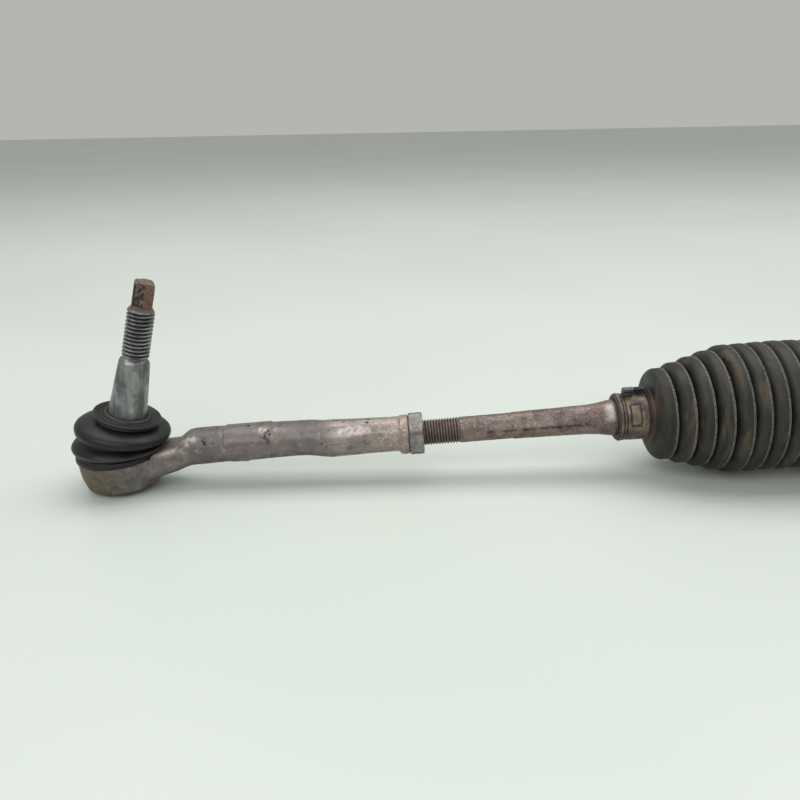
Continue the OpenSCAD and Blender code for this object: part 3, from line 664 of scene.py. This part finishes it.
def tie_rod(side):
    start, end, pitch = ROD_THREAD
    hand = 1 if side == "left" else -1
    outline = ball_outline(BALL_R, 178, 32)
    outline += [(6.5, 11.3), (6.5, 20), (8, 30), (8, 60), (9.2, 66), (9.2, LIP + 0.3), (9.6, LIP + 0.9),
                (9.3, 90.5), (8.7, 93.5), (8.2, 97), (7.95, 101), (7.7, 108), (7.5, 118),
                (7.2, FLATS[1] - 0.4), (6.95, FLATS[1] + 0.5), (6.85, 146), (6.85, start - 0.6)]
    thread = dense([(6.3, start - 0.2), (ROD_THREAD_R, start + 0.6), (ROD_THREAD_R, end - 1.5),
                    (5.6, end)], pitch / 12)
    grid = revolve(dense(outline, 1.0) + thread + [(0.5, end)], 108, rod_shape(hand))
    z = grid[..., 2]
    a = np.arctan2(grid[..., 1], grid[..., 0])
    # Painted shade in the thread's roots
    _, gap = thread_depth(z, a, start, end, pitch, 1, hand)
    painted_light_and_wear = np.where(z > start - 0.5, smooth((gap - 0.6) / 0.35), 0)
    shaft = smooth((z - LIP) / 3) * smooth((start - z) / 2)
    flat = grid.reshape(-1, 3)
    lump = (lumps(flat, 5, 2) * 0.11 + lumps(flat, 1.7, 6) * 0.07).reshape(z.shape) * shaft
    scale = 1 + lump / np.maximum(np.hypot(grid[..., 0], grid[..., 1]), 2)
    grid[..., 0] *= scale
    grid[..., 1] *= scale
    rod = solid(f"tie_rod_worn_{side}", grid, on_side(ROD, side), looks["rod_steel"], painted_light_and_wear=painted_light_and_wear, sharp=30)
    # Painted highlight on the front of the flare above the lip
    flare = smooth((z - LIP - 1.2) / 1) * smooth((94.5 - z) / 3)
    facing = smooth((np.cos(a - math.radians(-48)) - 0.75) / 0.25)
    set_attribute(rod, "scuffs_and_painted_highlight", np.append((flare * facing * 0.4).ravel(), [0, 0]))
    below_flat = np.exp(-((a - math.radians(-89) - 0.02 * np.sin(z)) / 0.09) ** 2) * smooth((z - 96) / 6)
    stained = below_flat * smooth((158 - z) / 6) * smooth((lumps(flat, 3.5, 9).reshape(z.shape) + 0.3) / 0.4)
    patch = smooth((lumps(flat, 6, 21).reshape(z.shape) - 0.02) / 0.3) * shaft
    set_attribute(rod, "grime_and_painted_shade", np.append((0.75 * stained + 0.3 * patch).ravel(), [0, 0]))
    place(rod, f"tie_rod_{side}", "rod_steel", f"tie_rod_{side}")


NUT = {"at": 188.5, "height": 7.5, "flats": 22, "bore": 7.0, "corner": 23}


def jam_nut(side):
    corner = NUT["flats"] / math.sqrt(3)
    h = NUT["height"]
    bevel = corner - NUT["flats"] / 2
    outer = dense([(NUT["bore"] + 1.0, 0), (10.6, 0), (corner - 0.55, bevel * 0.45),
                   (corner, bevel * 0.85)], 0.4)
    outer += dense([(corner, bevel * 0.85), (corner, h - bevel * 0.85), (corner - 0.55, h - bevel * 0.45),
                    (10.6, h), (NUT["bore"] + 1.0, h)], 0.5)[1:]
    bore = [(NUT["bore"], h - 1.0), (NUT["bore"], 1.0)]
    turn = math.radians(NUT["corner"] - 90)

    def shape(r, z, a):
        edge = hexagon_radius(a, NUT["flats"], turn)
        rounded = edge - 0.35 * smooth((edge - corner + 0.5) / 0.5)
        return np.where(r > 9, np.minimum(r, rounded), r + 0 * a)
    grid = revolve(outer + bore, 144, shape)
    z = grid[..., 2]
    flat = grid.reshape(-1, 3)
    wear = (lumps(flat, 2.4, 4) * 0.1).reshape(z.shape) * (np.hypot(grid[..., 0], grid[..., 1]) > 9)
    scale = 1 + (wear - 0.08) / np.maximum(np.hypot(grid[..., 0], grid[..., 1]), 2)
    grid[..., :2] *= scale[..., None]
    near_corner = smooth((np.hypot(grid[..., 0], grid[..., 1]) - corner + 0.75) / 0.3)
    matrix = on_side(ROD @ Matrix.Translation((0, 0, NUT["at"])), side)
    nut = solid(f"jam_nut_worn_{side}", grid, matrix, looks["nut_steel"], loop=True, painted_light_and_wear=near_corner * 0.5)
    place(nut, f"rod_end_{side}", "nut_steel", f"jam_nut_{side}")


# ---- Tie rod end ----

END_START = 196
COLLAR_R = 10.45
# Distance along the rod, lowest and highest points, half width, and squareness of each section
ARM_SECTIONS = [
    (198, -8.7, 9.8, 9.3, 2.0), (211, -8.7, 10.1, 9.4, 2.0), (234, -8.8, 10.9, 9.6, 2.0),
    (237.5, -8.7, 11.0, 9.8, 2.1), (241, -8.0, 11.1, 9.9, 2.2), (246, -6.9, 11.4, 10.1, 2.3),
    (252, -6.1, 11.6, 10.2, 2.4), (267, -5.9, 12.0, 10.2, 2.4), (281, -6.3, 12.1, 10.2, 2.4),
    (300, -6.2, 12.1, 10.2, 2.4), (309, -6.2, 11.9, 10.2, 2.5), (312, -6.4, 11.4, 10.3, 2.6),
    (315.5, -6.9, 8.3, 10.7, 3.0), (318.5, -7.5, 5.9, 11.3, 3.6), (322, -8.2, 5.5, 12.1, 3.8),
    (327, -9.3, 5.3, 13.4, 3.6), (333, -10.8, 5.2, 14.8, 3.2), (342, -12, 5.0, 16, 3.0),
]
CUP = [(0.5, -15), (13.2, -15), (14, -14.9), (16.2, -14.5), (18.4, -13.4), (19.8, -11.8), (20.7, -9),
       (21.3, -5.5), (21.6, -2), (21.7, 1), (21.5, 2.4), (0.5, 2.4)]
BOOT_FOOT = 2.5
CAVITY_R = 15.05
# Places of dark specks: distance along the rod, degrees round it from the front, and radius
SPECKS = [
    (302.7, 39, 1.1), (302.2, 32, 0.9), (298, 30, 0.4), (268.2, 56, 0.9), (267.4, 63, 0.6), (270.4, 43, 1.1),
    (268.8, 46, 0.9), (270.9, 34, 0.8), (269.5, 24, 0.9), (280, 84, 0.8), (230.3, 80, 0.8), (225, 80, 0.5),
    (217.7, 67, 0.9), (216.8, 88, 0.8), (233.3, 90, 0.5), (247.6, 61, 0.5), (242, 2, 0.7), (240, -8, 0.8),
]
# Places of bright scuffs, given in the same way
SHINE = [
    (311.5, 42, 1.4), (308.8, 45, 1.2), (313.5, 40, 0.9), (272.3, 57, 0.9), (231, 35, 1.2), (227, 36, 2.0),
    (222.5, 37, 2.2), (218, 35, 1.2),
]
# Height of the forging's parting line, by distance along the rod
PARTING_AT = [303, 309, 314.5, 316.8, 318.6, 322, 332, 345]
PARTING_HEIGHT = [10.2, 9.6, 8.6, 7.0, 4.9, 4.5, 3.9, 3.4]


def rounded_section(low, high, half, power, columns=72):
    """Points round a section that is between an ellipse and a rectangle."""
    points = []
    for j in range(columns):
        t = 2 * math.pi * j / columns
        c, s = math.cos(t), math.sin(t)
        x = math.copysign(abs(c) ** (2 / power), c) * (high - low) / 2 + (high + low) / 2
        points.append((x, math.copysign(abs(s) ** (2 / power), s) * half))
    return points


def arm_grid():
    stations = dense(ARM_SECTIONS, 2.0)
    return np.array([[(x, y, u) for x, y in rounded_section(low, high, half, power)]
                     for u, low, high, half, power in stations])


def parting_height(u):
    """Height of the forging's parting line along the rod."""
    return np.interp(u, PARTING_AT, PARTING_HEIGHT)


def spot_mask(u, around, spots, soft):
    """1 inside any of the listed spots, fading out over soft millimetres."""
    value = np.zeros(len(u))
    for at, degrees, radius in spots:
        gap = np.hypot(u - at, (around - math.radians(degrees)) * 9.5)
        value = np.maximum(value, smooth((radius + soft - gap) / soft))
    return value


def rod_end():
    """The forged outer end, with its parting line, raised pad and scars. Returns the left one."""
    collar = revolve([(0.5, END_START), (9.8, END_START), (COLLAR_R, END_START + 0.5),
                      (COLLAR_R, END_START + 4.3), (9.4, END_START + 5.4), (0.5, END_START + 5.4)])
    parts = [solid("collar", collar, ROD, None), solid("arm", arm_grid(), ROD, None),
             solid("cup", revolve(dense(CUP, 3)), SOCKET, None)]
    body = fused("rod_end_forged_left", parts, 0.5, 3)
    p = vertices_in(body, ROD)
    n = normals_in(body, ROD)
    u, height, front = p[:, 2], p[:, 0], -p[:, 1]
    around = np.arctan2(height - 2, front)
    s = vertices_in(body, SOCKET)
    cup_reach = np.hypot(s[:, 0], s[:, 1])
    on_arm = smooth((u - 203) / 3) * smooth((330 - u) / 6)
    outside = smooth((np.hypot(height - 2, front) - 6) / 1.5) * smooth((cup_reach - 24) / 2)
    side_facing = smooth((np.abs(front) - 3) / 3)
    line = np.exp(-((height - parting_height(u)) / 0.6) ** 2) * side_facing * smooth((u - 304) / 4)
    line = line * smooth((338 - u) / 3)
    pad = smooth((u - 268.2) / 0.9) * smooth((293.2 - u) / 0.9) * smooth((height - 5.2) / 0.7) * outside
    lower_pad = smooth((u - 281) / 1) * smooth((292 - u) / 2) * smooth((-2.8 - height) / 0.8) * outside
    uneven = (lumps(p, 12, 1) * 0.3 + lumps(p, 4.2, 2) * 0.14 + lumps(p, 1.6, 3) * 0.05)
    cup_skin = smooth((cup_reach - 14) / 3) * smooth((0.5 - s[:, 2]) / 1) * 0.8
    rise = 0.5 * line + 0.5 * pad + 0.35 * lower_pad + uneven * np.maximum(on_arm * outside, cup_skin)
    specks = spot_mask(u, around, SPECKS, 0.5) * outside
    shine = spot_mask(u, around, SHINE, 1.8) * outside
    ragged = smooth((lumps(p, 1.1, 9) + 0.35) / 0.5)
    p += n * (rise - 0.15 * specks)[:, None]
    set_vertices(body, ROD, p)
    grime_and_painted_shade = specks * ragged
    lump_dirt = smooth((lumps(p, 3.5, 7) + 0.1) / 0.5)
    under_barrel = smooth((u - 214) / 6) * smooth((250 - u) / 4) * smooth((-4.2 - height) / 2)
    cup_dirt = smooth((12 - s[:, 0]) / 22) * smooth((cup_reach - 16) / 3) * smooth((2.2 - s[:, 2]) / 2)
    dirt = np.maximum(under_barrel * lump_dirt, cup_dirt)
    beige = smooth((u - 194) / 3) * smooth((224 - u) / 18) * smooth((lumps(p, 4, 15) + 0.55) / 0.6)
    # Scuff spots, and a painted highlight along the parting line
    scuffs_and_painted_highlight = np.maximum(shine * smooth((lumps(p, 1.8, 11) + 0.6) / 0.8) * 0.5, 0.3 * line)
    dark_arm = smooth((u - 232) / 10)
    masks = {"grime_and_painted_shade": grime_and_painted_shade, "dirt": dirt, "scuffs_and_painted_highlight": scuffs_and_painted_highlight, "beige": beige, "dull": dark_arm}
    for name, values in masks.items():
        set_attribute(body, name, values)
    bore = revolve([(0.5, END_START - 2), (7.0, END_START - 2), (7.0, 236), (0.5, 237.5)], 72)
    low = -12.7
    shelf = revolve([(18.8, BOOT_FOOT), (23.1, BOOT_FOOT), (23.1, 16), (18.8, 16)], 96)
    ball_room = [(math.sqrt(CAVITY_R ** 2 - h ** 2), h) for h in np.linspace(low, 5.5, 16)]
    cavity = revolve([(0.5, -17), (12.6, -17), (12.6, -14.3), (14.6, -14.3), (14.6, low)] + ball_room
                     + [(15.1, 11), (0.5, 11)], 72)
    body = cut(body, [solid("bore", bore, ROD, None), solid("cavity", cavity, SOCKET, None),
                      solid("shelf", shelf, SOCKET, None, loop=True)])
    body.data.shade_smooth()
    body.data.set_sharp_from_angle(angle=math.radians(50))
    body.data.materials.clear()
    body.data.materials.append(looks["forged_steel"])
    return body


def rod_ends():
    left = rod_end()
    pair = {"left": left, "right": mirrored(left, "rod_end_forged_right")}
    for side, piece in pair.items():
        place(piece, f"rod_end_{side}", "forged_steel", f"rod_end_{side}")


# ---- Dust boot ----

# Radius, distance from the ball along the ring's own axis, and that axis's lean in degrees
BOOT_OUTER = [
    (19.2, 2.6, 0), (21.8, 2.6, 0), (22.4, 3.0, 0), (22.6, 3.8, 0), (22.4, 5.2, 0.5), (21.6, 5.9, 1.2),
    (21.7, 6.4, 2), (22.9, 7.0, 3.5), (23.9, 7.8, 5), (24.3, 8.5, 6), (24.1, 9.1, 6.5), (23.4, 10.0, 7.5),
    (22.3, 10.9, 8.5), (21.0, 11.7, 9.5), (20.1, 12.4, 10.4), (20.0, 12.9, 11), (21.1, 13.3, 12),
    (22.7, 13.9, 13), (23.8, 14.9, 13.6), (24.2, 16.1, 14), (24.2, 17.3, 14.2), (23.7, 18.5, 14.5),
    (22.4, 19.7, 15), (20.2, 20.6, 15.6), (17.8, 21.2, 16.2), (15.9, 21.6, 16.8), (15.2, 21.9, 17.2),
    (15.3, 22.3, 17.5), (16.2, 22.5, 17.8), (16.6, 23.0, 18), (16.3, 23.4, 18.1), (16.1, 23.7, 18.2),
    (16.9, 24.1, 18.2), (17.2, 24.7, 18.2), (17.1, 25.4, 18.2), (16.8, 25.75, 18.2), (16.3, 25.8, 18.2),
    (15.4, 25.3, 18.2), (14.2, 24.8, 18.2), (13.2, 24.6, 18.2), (12.9, 24.9, 18.2), (12.5, 25.0, 18.2),
    (12.2, 24.9, 18.2), (11.8, 25.5, 18.2), (11.3, 26.0, 18.2), (10.8, 26.3, 18.2), (10.2, 26.4, 18.2),
    (10.05, 26.0, 18.2), (10.15, 23.0, 18.2),
]
BOOT_INNER = [
    (11.8, 22.7, 18.2), (11.9, 21.6, 17), (13.4, 20.4, 15.6), (18.4, 19.6, 14), (21.6, 18.3, 13),
    (22.8, 16.8, 12), (22.6, 15.2, 11.4), (21.4, 14.0, 11), (18.6, 12.9, 10.4), (18.5, 11.6, 9.8),
    (20.2, 10.8, 8.5), (22.2, 9.4, 7), (22.5, 8.6, 6), (21.6, 7.6, 4), (20.4, 7.0, 2.5), (19.0, 6.4, 1),
    (18.9, 4.0, 0),
]


def leaning_rings(outline, full_lean, columns=120):
    """Rings about the ball, each leaning by its own share of the stud's lean."""
    a = np.arange(columns) * 2 * math.pi / columns
    rings = []
    for r, h, lean in outline:
        t = math.radians(lean) * full_lean
        x, y = r * np.cos(a), r * np.sin(a)
        rings.append(np.stack([x * math.cos(t) + h * math.sin(t), y, h * math.cos(t) - x * math.sin(t)], -1))
    return np.array(rings)


def dust_boots():
    scale = STUD_TILT / math.radians(18.2)
    outline = dense(BOOT_OUTER, 0.9) + dense(BOOT_INNER, 2)
    grid = leaning_rings(outline, scale)
    painted_light_and_wear = np.zeros(grid.shape[:2])
    radii = np.array([p[0] for p in outline])
    heights = np.array([p[1] for p in outline])
    outer = len(dense(BOOT_OUTER, 0.9))
    # Painted highlight along the rims of the lower bulge and upper fold, and on the inner lip
    for r, h in ((24.3, 8.5), (17.15, 25.0), (11.4, 25.9)):
        near = np.exp(-(np.hypot(radii - r, heights - h) / 0.45) ** 2)
        near[outer:] = 0
        painted_light_and_wear = np.maximum(painted_light_and_wear, near[:, None] * 0.9)
    for side in SIDES:
        matrix = on_side(SOCKET, side)
        boot = solid(f"dust_boot_folded_{side}", grid, matrix, looks["boot_rubber"], loop=True, painted_light_and_wear=painted_light_and_wear,
                     sharp=60)
        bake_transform(boot)
        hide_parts(f"dust_boot_{side}")


# ---- Bellows ----

FOLDS = 20
PITCH = 8.6
FIRST_FOLD = 64
FIRST_FOLD_R = 24.3
FOLD_R = 33.8
WALL = 1.4
CUFF_R = 30
SEAT_R = 28
HOUSING_END = 222 - 335
CUFF = 17
# From a fold's outer valley to its inner one: share of the pitch, share of its depth below the top, and painted
# highlight with wear on the crest beads
FOLD = [
    (0.02, 0.92, 0), (0.05, 0.7, 0), (0.1, 0.46, 0), (0.17, 0.26, 0), (0.26, 0.12, 0), (0.37, 0.035, 0),
    (0.5, 0.0, 0), (0.63, 0.005, 0), (0.765, 0.03, 0), (0.775, -0.015, 1), (0.8, -0.015, 1),
    (0.81, 0.035, 0.2), (0.845, 0.04, 0.2), (0.855, -0.005, 1), (0.88, 0.0, 1), (0.895, 0.1, 0),
    (0.915, 0.38, 0), (0.94, 0.66, 0), (0.965, 0.88, 0),
]
FOLD_TOP = 0.49
# The neck's shoulder and the first fold's dome
NECK = [
    (11.7, 70.7), (14.3, 70.6), (15.6, 70.3), (16.2, 69.7), (16.2, 69.3), (17.2, 69.0), (19.2, 68.6),
    (20.8, 68.1), (22.1, 67.5), (23.1, 66.7), (23.8, 65.8), (24.2, 64.8),
]
# The inner face of that dome, run back to the lip's bore
NECK_INNER = [(22.4, 64.8), (20.4, 66.8), (15.6, 67.8), (14.2, 69.0), (10.2, 69.2), (9.25, 70.4)]


def crest_r(k):
    return min(FOLD_R, FIRST_FOLD_R + 2.4 * (k - 1))


def valley_r(k):
    return (crest_r(k) + crest_r(k + 1)) / 2 - 5.2


def valley_at(k):
    """Place of the valley between folds k and k + 1."""
    return FIRST_FOLD - PITCH * (k - FOLD_TOP)


def fold_line(first, last):
    """Outer line over some folds: radius, distance along the axis, and painted highlight with wear from 0 to 1."""
    line = []
    for k in range(first, last + 1):
        for across, down, painted_light_and_wear in FOLD:
            if k == 1 and across < FOLD_TOP:
                continue
            low = valley_r(k - 1) if across < FOLD_TOP else valley_r(k)
            line.append((crest_r(k) - (crest_r(k) - low) * down, valley_at(k - 1) - across * PITCH, painted_light_and_wear))
        line.append((valley_r(k), valley_at(k), 0))
    return line


def bent(grid):
    """The same rings, leaning with the drooping rod beyond the inner ball and straight behind it."""
    u = grid[..., 2]
    lean = DROOP * smooth((u + 16) / 32)
    x = grid[..., 0].copy()
    grid[..., 0] = x * np.cos(lean) - u * np.sin(lean)
    grid[..., 2] = u * np.cos(lean) + x * np.sin(lean)
    return grid


def bellows_piece(name, side, outer, inner, bodies, start):
    """One stretch of bellows, between two bodies' reach. start and end are distances from the ball."""
    columns = 132
    grid = bent(revolve([p[:2] for p in outer + inner], columns))
    painted_light_and_wear = np.array([p[2] for p in outer] + [0.0] * len(inner))[:, None] + np.zeros((1, columns))
    matrix = on_side(RACK_END, side)
    piece = solid(f"{name}_{side}", grid, matrix, looks["bellows_rubber"], loop=True, painted_light_and_wear=painted_light_and_wear, sharp=70)
    if start is None:
        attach(piece, bodies[0])
    else:
        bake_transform(piece)
    return piece


def lined(outer):
    """The inner face of a stretch of bellows, run backwards."""
    step = [(max(r - WALL, 9.3), u) for r, u, _ in outer]
    return step[::-3] + [step[0]]


def bellows(side):
    housing, rack, ball, rod = "housing", "rack", f"inner_ball_{side}", f"tie_rod_{side}"
    seam_a, seam_b = 6, 2
    reach = 1.2
    lip = [(9.25, LIP - 0.2, 0), (10.8, LIP, 0), (11.8, LIP - 0.2, 0.2), (12.2, LIP - 0.6, 0.2),
           (12.1, LIP - 1.0, 0), (11.5, LIP - 1.2, 0), (11.5, 80.6, 0), (11.5, 70.9, 0)]
    neck = lip + [(r, u, 0) for r, u in NECK]
    crest = fold_line(1, seam_b)
    outer = neck + crest
    inner = [(r - WALL, u) for r, u, _ in crest[::-3]] + NECK_INNER
    z_b = valley_at(seam_b)
    z_a = valley_at(seam_a)
    first = bellows_piece("bellows_outer", side, outer, inner, (ball, rod), z_b + reach)
    middle_line = fold_line(seam_b + 1, seam_a)
    join_b = [(valley_r(seam_b), z_b, 0.0)]
    middle = bellows_piece("bellows_middle", side, join_b + middle_line, lined(join_b + middle_line),
                           (rack, ball), z_a + reach)
    join_a = [(valley_r(seam_a), z_a, 0.0)]
    line = join_a + fold_line(seam_a + 1, FOLDS)
    cuff = [(SEAT_R + 1.0, HOUSING_END + 2.2, 0), (CUFF_R - 0.2, HOUSING_END + 1.2, 0),
            (CUFF_R, HOUSING_END, 0), (CUFF_R, HOUSING_END - CUFF + 1.4, 0),
            (CUFF_R + 0.7, HOUSING_END - CUFF + 0.8, 0),
            (CUFF_R + 0.4, HOUSING_END - CUFF, 0), (SEAT_R + 0.05, HOUSING_END - CUFF, 0),
            (SEAT_R + 0.05, HOUSING_END + 0.5, 0), (SEAT_R - 1.2, HOUSING_END + 1.4, 0)]
    inner = [(r - WALL, u) for r, u, _ in line[::-3]] + [(line[0][0] - WALL, line[0][1])]
    last = bellows_piece("bellows_main", side, line + cuff, inner, (housing, rack), HOUSING_END - 0.5)
    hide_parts(f"bellows_{side}")
    return first, middle


# ---- Small clamp ----

BAND = (71.0, 82.4)
BAND_R = 12.5
WINDOW = 78.0
WINDOW_TURN = math.radians(-67)
# Inner radius is the neck's. Each hoop: start, end, outer radius
HOOPS = {"inner": (82.9, 84.1, 12.5), "outer": (84.5, 86.0, 12.7)}
# Finger tabs: name, turn, place along the rod, length and height
EARS = (("outer", -0.14, 78.0, 5.6, 1.25), ("inner", 0.04, 71.4, 5.4, 0.9))


def clamp_window(z, a):
    """How near each point is to the outline of the band's window, and which points are inside it."""
    turned = np.abs((a - WINDOW_TURN + math.pi) % (2 * math.pi) - math.pi)
    edge = np.maximum(np.abs(z - WINDOW) / 2.6, turned / 0.46)
    return np.exp(-((edge - 1) / 0.14) ** 2), edge < 1


def small_clamp(side):
    inner = 11.65
    low, high = BAND
    outline = dense([(inner, low), (BAND_R - 0.35, low), (BAND_R - 0.05, low + 0.5), (BAND_R + 0.1, low + 3),
                     (BAND_R + 0.1, high - 3), (BAND_R - 0.1, high - 0.5), (BAND_R - 0.35, high),
                     (inner, high)], 0.3)
    grid = revolve(outline + [(inner, low + 2)], 180)
    z = grid[..., 2]
    outlined, inside = clamp_window(z, np.arctan2(grid[..., 1], grid[..., 0]))
    skin = np.hypot(grid[..., 0], grid[..., 1]) > BAND_R - 0.3
    flat = grid.reshape(-1, 3)
    move = np.where(skin, np.where(inside, 0.3, 0) - 0.35 * outlined, 0)
    move = move + np.where(skin, (lumps(flat, 2.5, 3) * 0.12).reshape(z.shape), 0)
    scale = 1 + move / np.hypot(grid[..., 0], grid[..., 1])
    grid[..., :2] *= scale[..., None]
    matrix = on_side(ROD, side)
    # The window's outline is painted dark: painted shade in its groove
    band = solid(f"bellows_clamp_band_{side}", grid, matrix, looks["band_steel"], loop=True,
                 painted_light_and_wear=np.where(skin, outlined * 0.9, 0))
    place(band, f"tie_rod_{side}", "band_steel", f"bellows_clamp_small_{side}")
    for name, (start, end, r) in HOOPS.items():
        edge = revolve([(inner - 0.1, start), (r - 0.25, start), (r, start + 0.25), (r, end - 0.25),
                        (r - 0.25, end), (inner - 0.1, end)], 120)
        hoop = solid(f"bellows_clamp_hoop_{name}_{side}", edge, matrix, looks["band_steel"], loop=True)
        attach(hoop, f"tie_rod_{side}")
    for name, turn, at, length, height in EARS:
        ear = clamp_ear(f"bellows_clamp_ear_{name}_{side}", matrix, turn, at, length, height)
        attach(ear, f"tie_rod_{side}")


def clamp_ear(name, matrix, turn, at, length, height):
    """A folded finger tab that stands up from the band."""
    side_line = [(-1.5, 0), (-1.35, 2.6), (-1.9, 3.5), (-2.6, 4.2), (-2.3, 5.0), (-1.2, 5.1), (-0.2, 4.6),
                 (0.4, 3.6), (0.75, 1.4), (1.0, 0)]
    across = [-0.5, -0.44, -0.2, 0.2, 0.44, 0.5]
    rows = []
    for i, t in enumerate(across):
        shrink = 0.9 if i in (0, len(across) - 1) else 1.0
        row = []
        for x, h in side_line:
            radius = BAND_R - 0.5 + h * height * (1 if h == 0 else shrink)
            angle = turn + x * shrink / BAND_R
            row.append((radius * math.cos(angle), radius * math.sin(angle), at + length * (t + 0.5)))
        rows.append(row)
    return solid(name, np.array(rows), matrix, looks["dark_steel"], sharp=25)


# ---- Housing ----


def housing():
    """The cast housing with rounded edges and inner corners."""
    source = frame["nodes"]["rack_housing"]
    copy = bpy.data.objects.new("housing_blank", source.data.copy())
    copy.matrix_world = source.matrix_world.copy()
    bpy.context.collection.objects.link(copy)
    bpy.context.view_layer.update()
    copy.data.transform(copy.matrix_world)
    copy.matrix_world = Matrix.Identity(4)
    body = fused("rack_housing_cast", [copy], 0.9, 5)
    body.data.shade_smooth()
    body.data.materials.clear()
    body.data.materials.append(looks["cast_aluminium"])
    place(body, "housing", "cast_aluminium", "rack_housing")


# ---- Stage ----


def area_light(name, at, aim, width, height, power, colour):
    data = bpy.data.lights.new(name, "AREA")
    data.shape = "RECTANGLE"
    data.size, data.size_y = width, height
    data.energy = power
    data.color = colour
    light = bpy.data.objects.new(name, data)
    light.location = at
    light.rotation_euler = (Vector(aim) - Vector(at)).to_track_quat("-Z", "Y").to_euler()
    bpy.context.collection.objects.link(light)


def stage():
    half = 6.0
    floor = new_object("floor", [(-half, -half, 0), (half, -half, 0), (half, half, 0), (-half, half, 0)],
                       [(0, 1, 2, 3)], Matrix.Identity(4), None)
    k = Look("floor", roughness=0.35, specular=0.4)
    tint = k.noise(400, detail=2)
    colour = k.mix(k.span(tint, 0.3, 0.7), srgb(196, 204, 197), srgb(202, 209, 203))
    floor.data.materials.append(k.finish(colour))
    world = bpy.context.scene.world or bpy.data.worlds.new("World")
    bpy.context.scene.world = world
    world.use_nodes = True
    background = world.node_tree.nodes["Background"]
    background.inputs["Color"].default_value = srgb(236, 236, 232)
    background.inputs["Strength"].default_value = 0.55
    middle = (cad_box[0] + cad_box[1]) / 2
    window_aim = (middle.x - 0.3, 0, 0)
    area_light("window", (middle.x - 0.9, -1.5, 1.35), window_aim, 2.4, 1.2, 20, (1, 0.99, 0.97))
    area_light("ceiling", (middle.x, 0.35, 1.6), middle, 3.0, 1.2, 30, (1, 1, 1))
    scene = bpy.context.scene
    scene.view_settings.view_transform = "Standard"


def camera():
    """The photograph's viewpoint: in front of the left tie rod, looking slightly down."""
    yaw, pitch, roll = (math.radians(v) for v in (0.92, 20.65, -1.07))
    ahead = Vector((math.sin(yaw) * math.cos(pitch), math.cos(yaw) * math.cos(pitch), -math.sin(pitch)))
    right = Vector((math.cos(yaw), -math.sin(yaw), 0))
    over = right.cross(ahead)
    across = right * math.cos(roll) + over * math.sin(roll)
    upward = over * math.cos(roll) - right * math.sin(roll)
    data = bpy.data.cameras.new("camera")
    data.lens, data.sensor_width = 35.0, 36.0
    data.clip_start, data.clip_end = 0.01, 50
    cam = bpy.data.objects.new("camera", data)
    m = Matrix((across, upward, -ahead)).transposed().to_4x4()
    m.translation = Vector((-0.5413, -0.4276, 0.1883))
    cam.matrix_world = m
    bpy.context.collection.objects.link(cam)
    bpy.context.scene.camera = cam


camera()
stage()
dress_cad_nodes()
housing()
rod_ends()
dust_boots()
for side in SIDES:
    ball_stud(side)
    tie_rod(side)
    jam_nut(side)
    bellows(side)
    small_clamp(side)
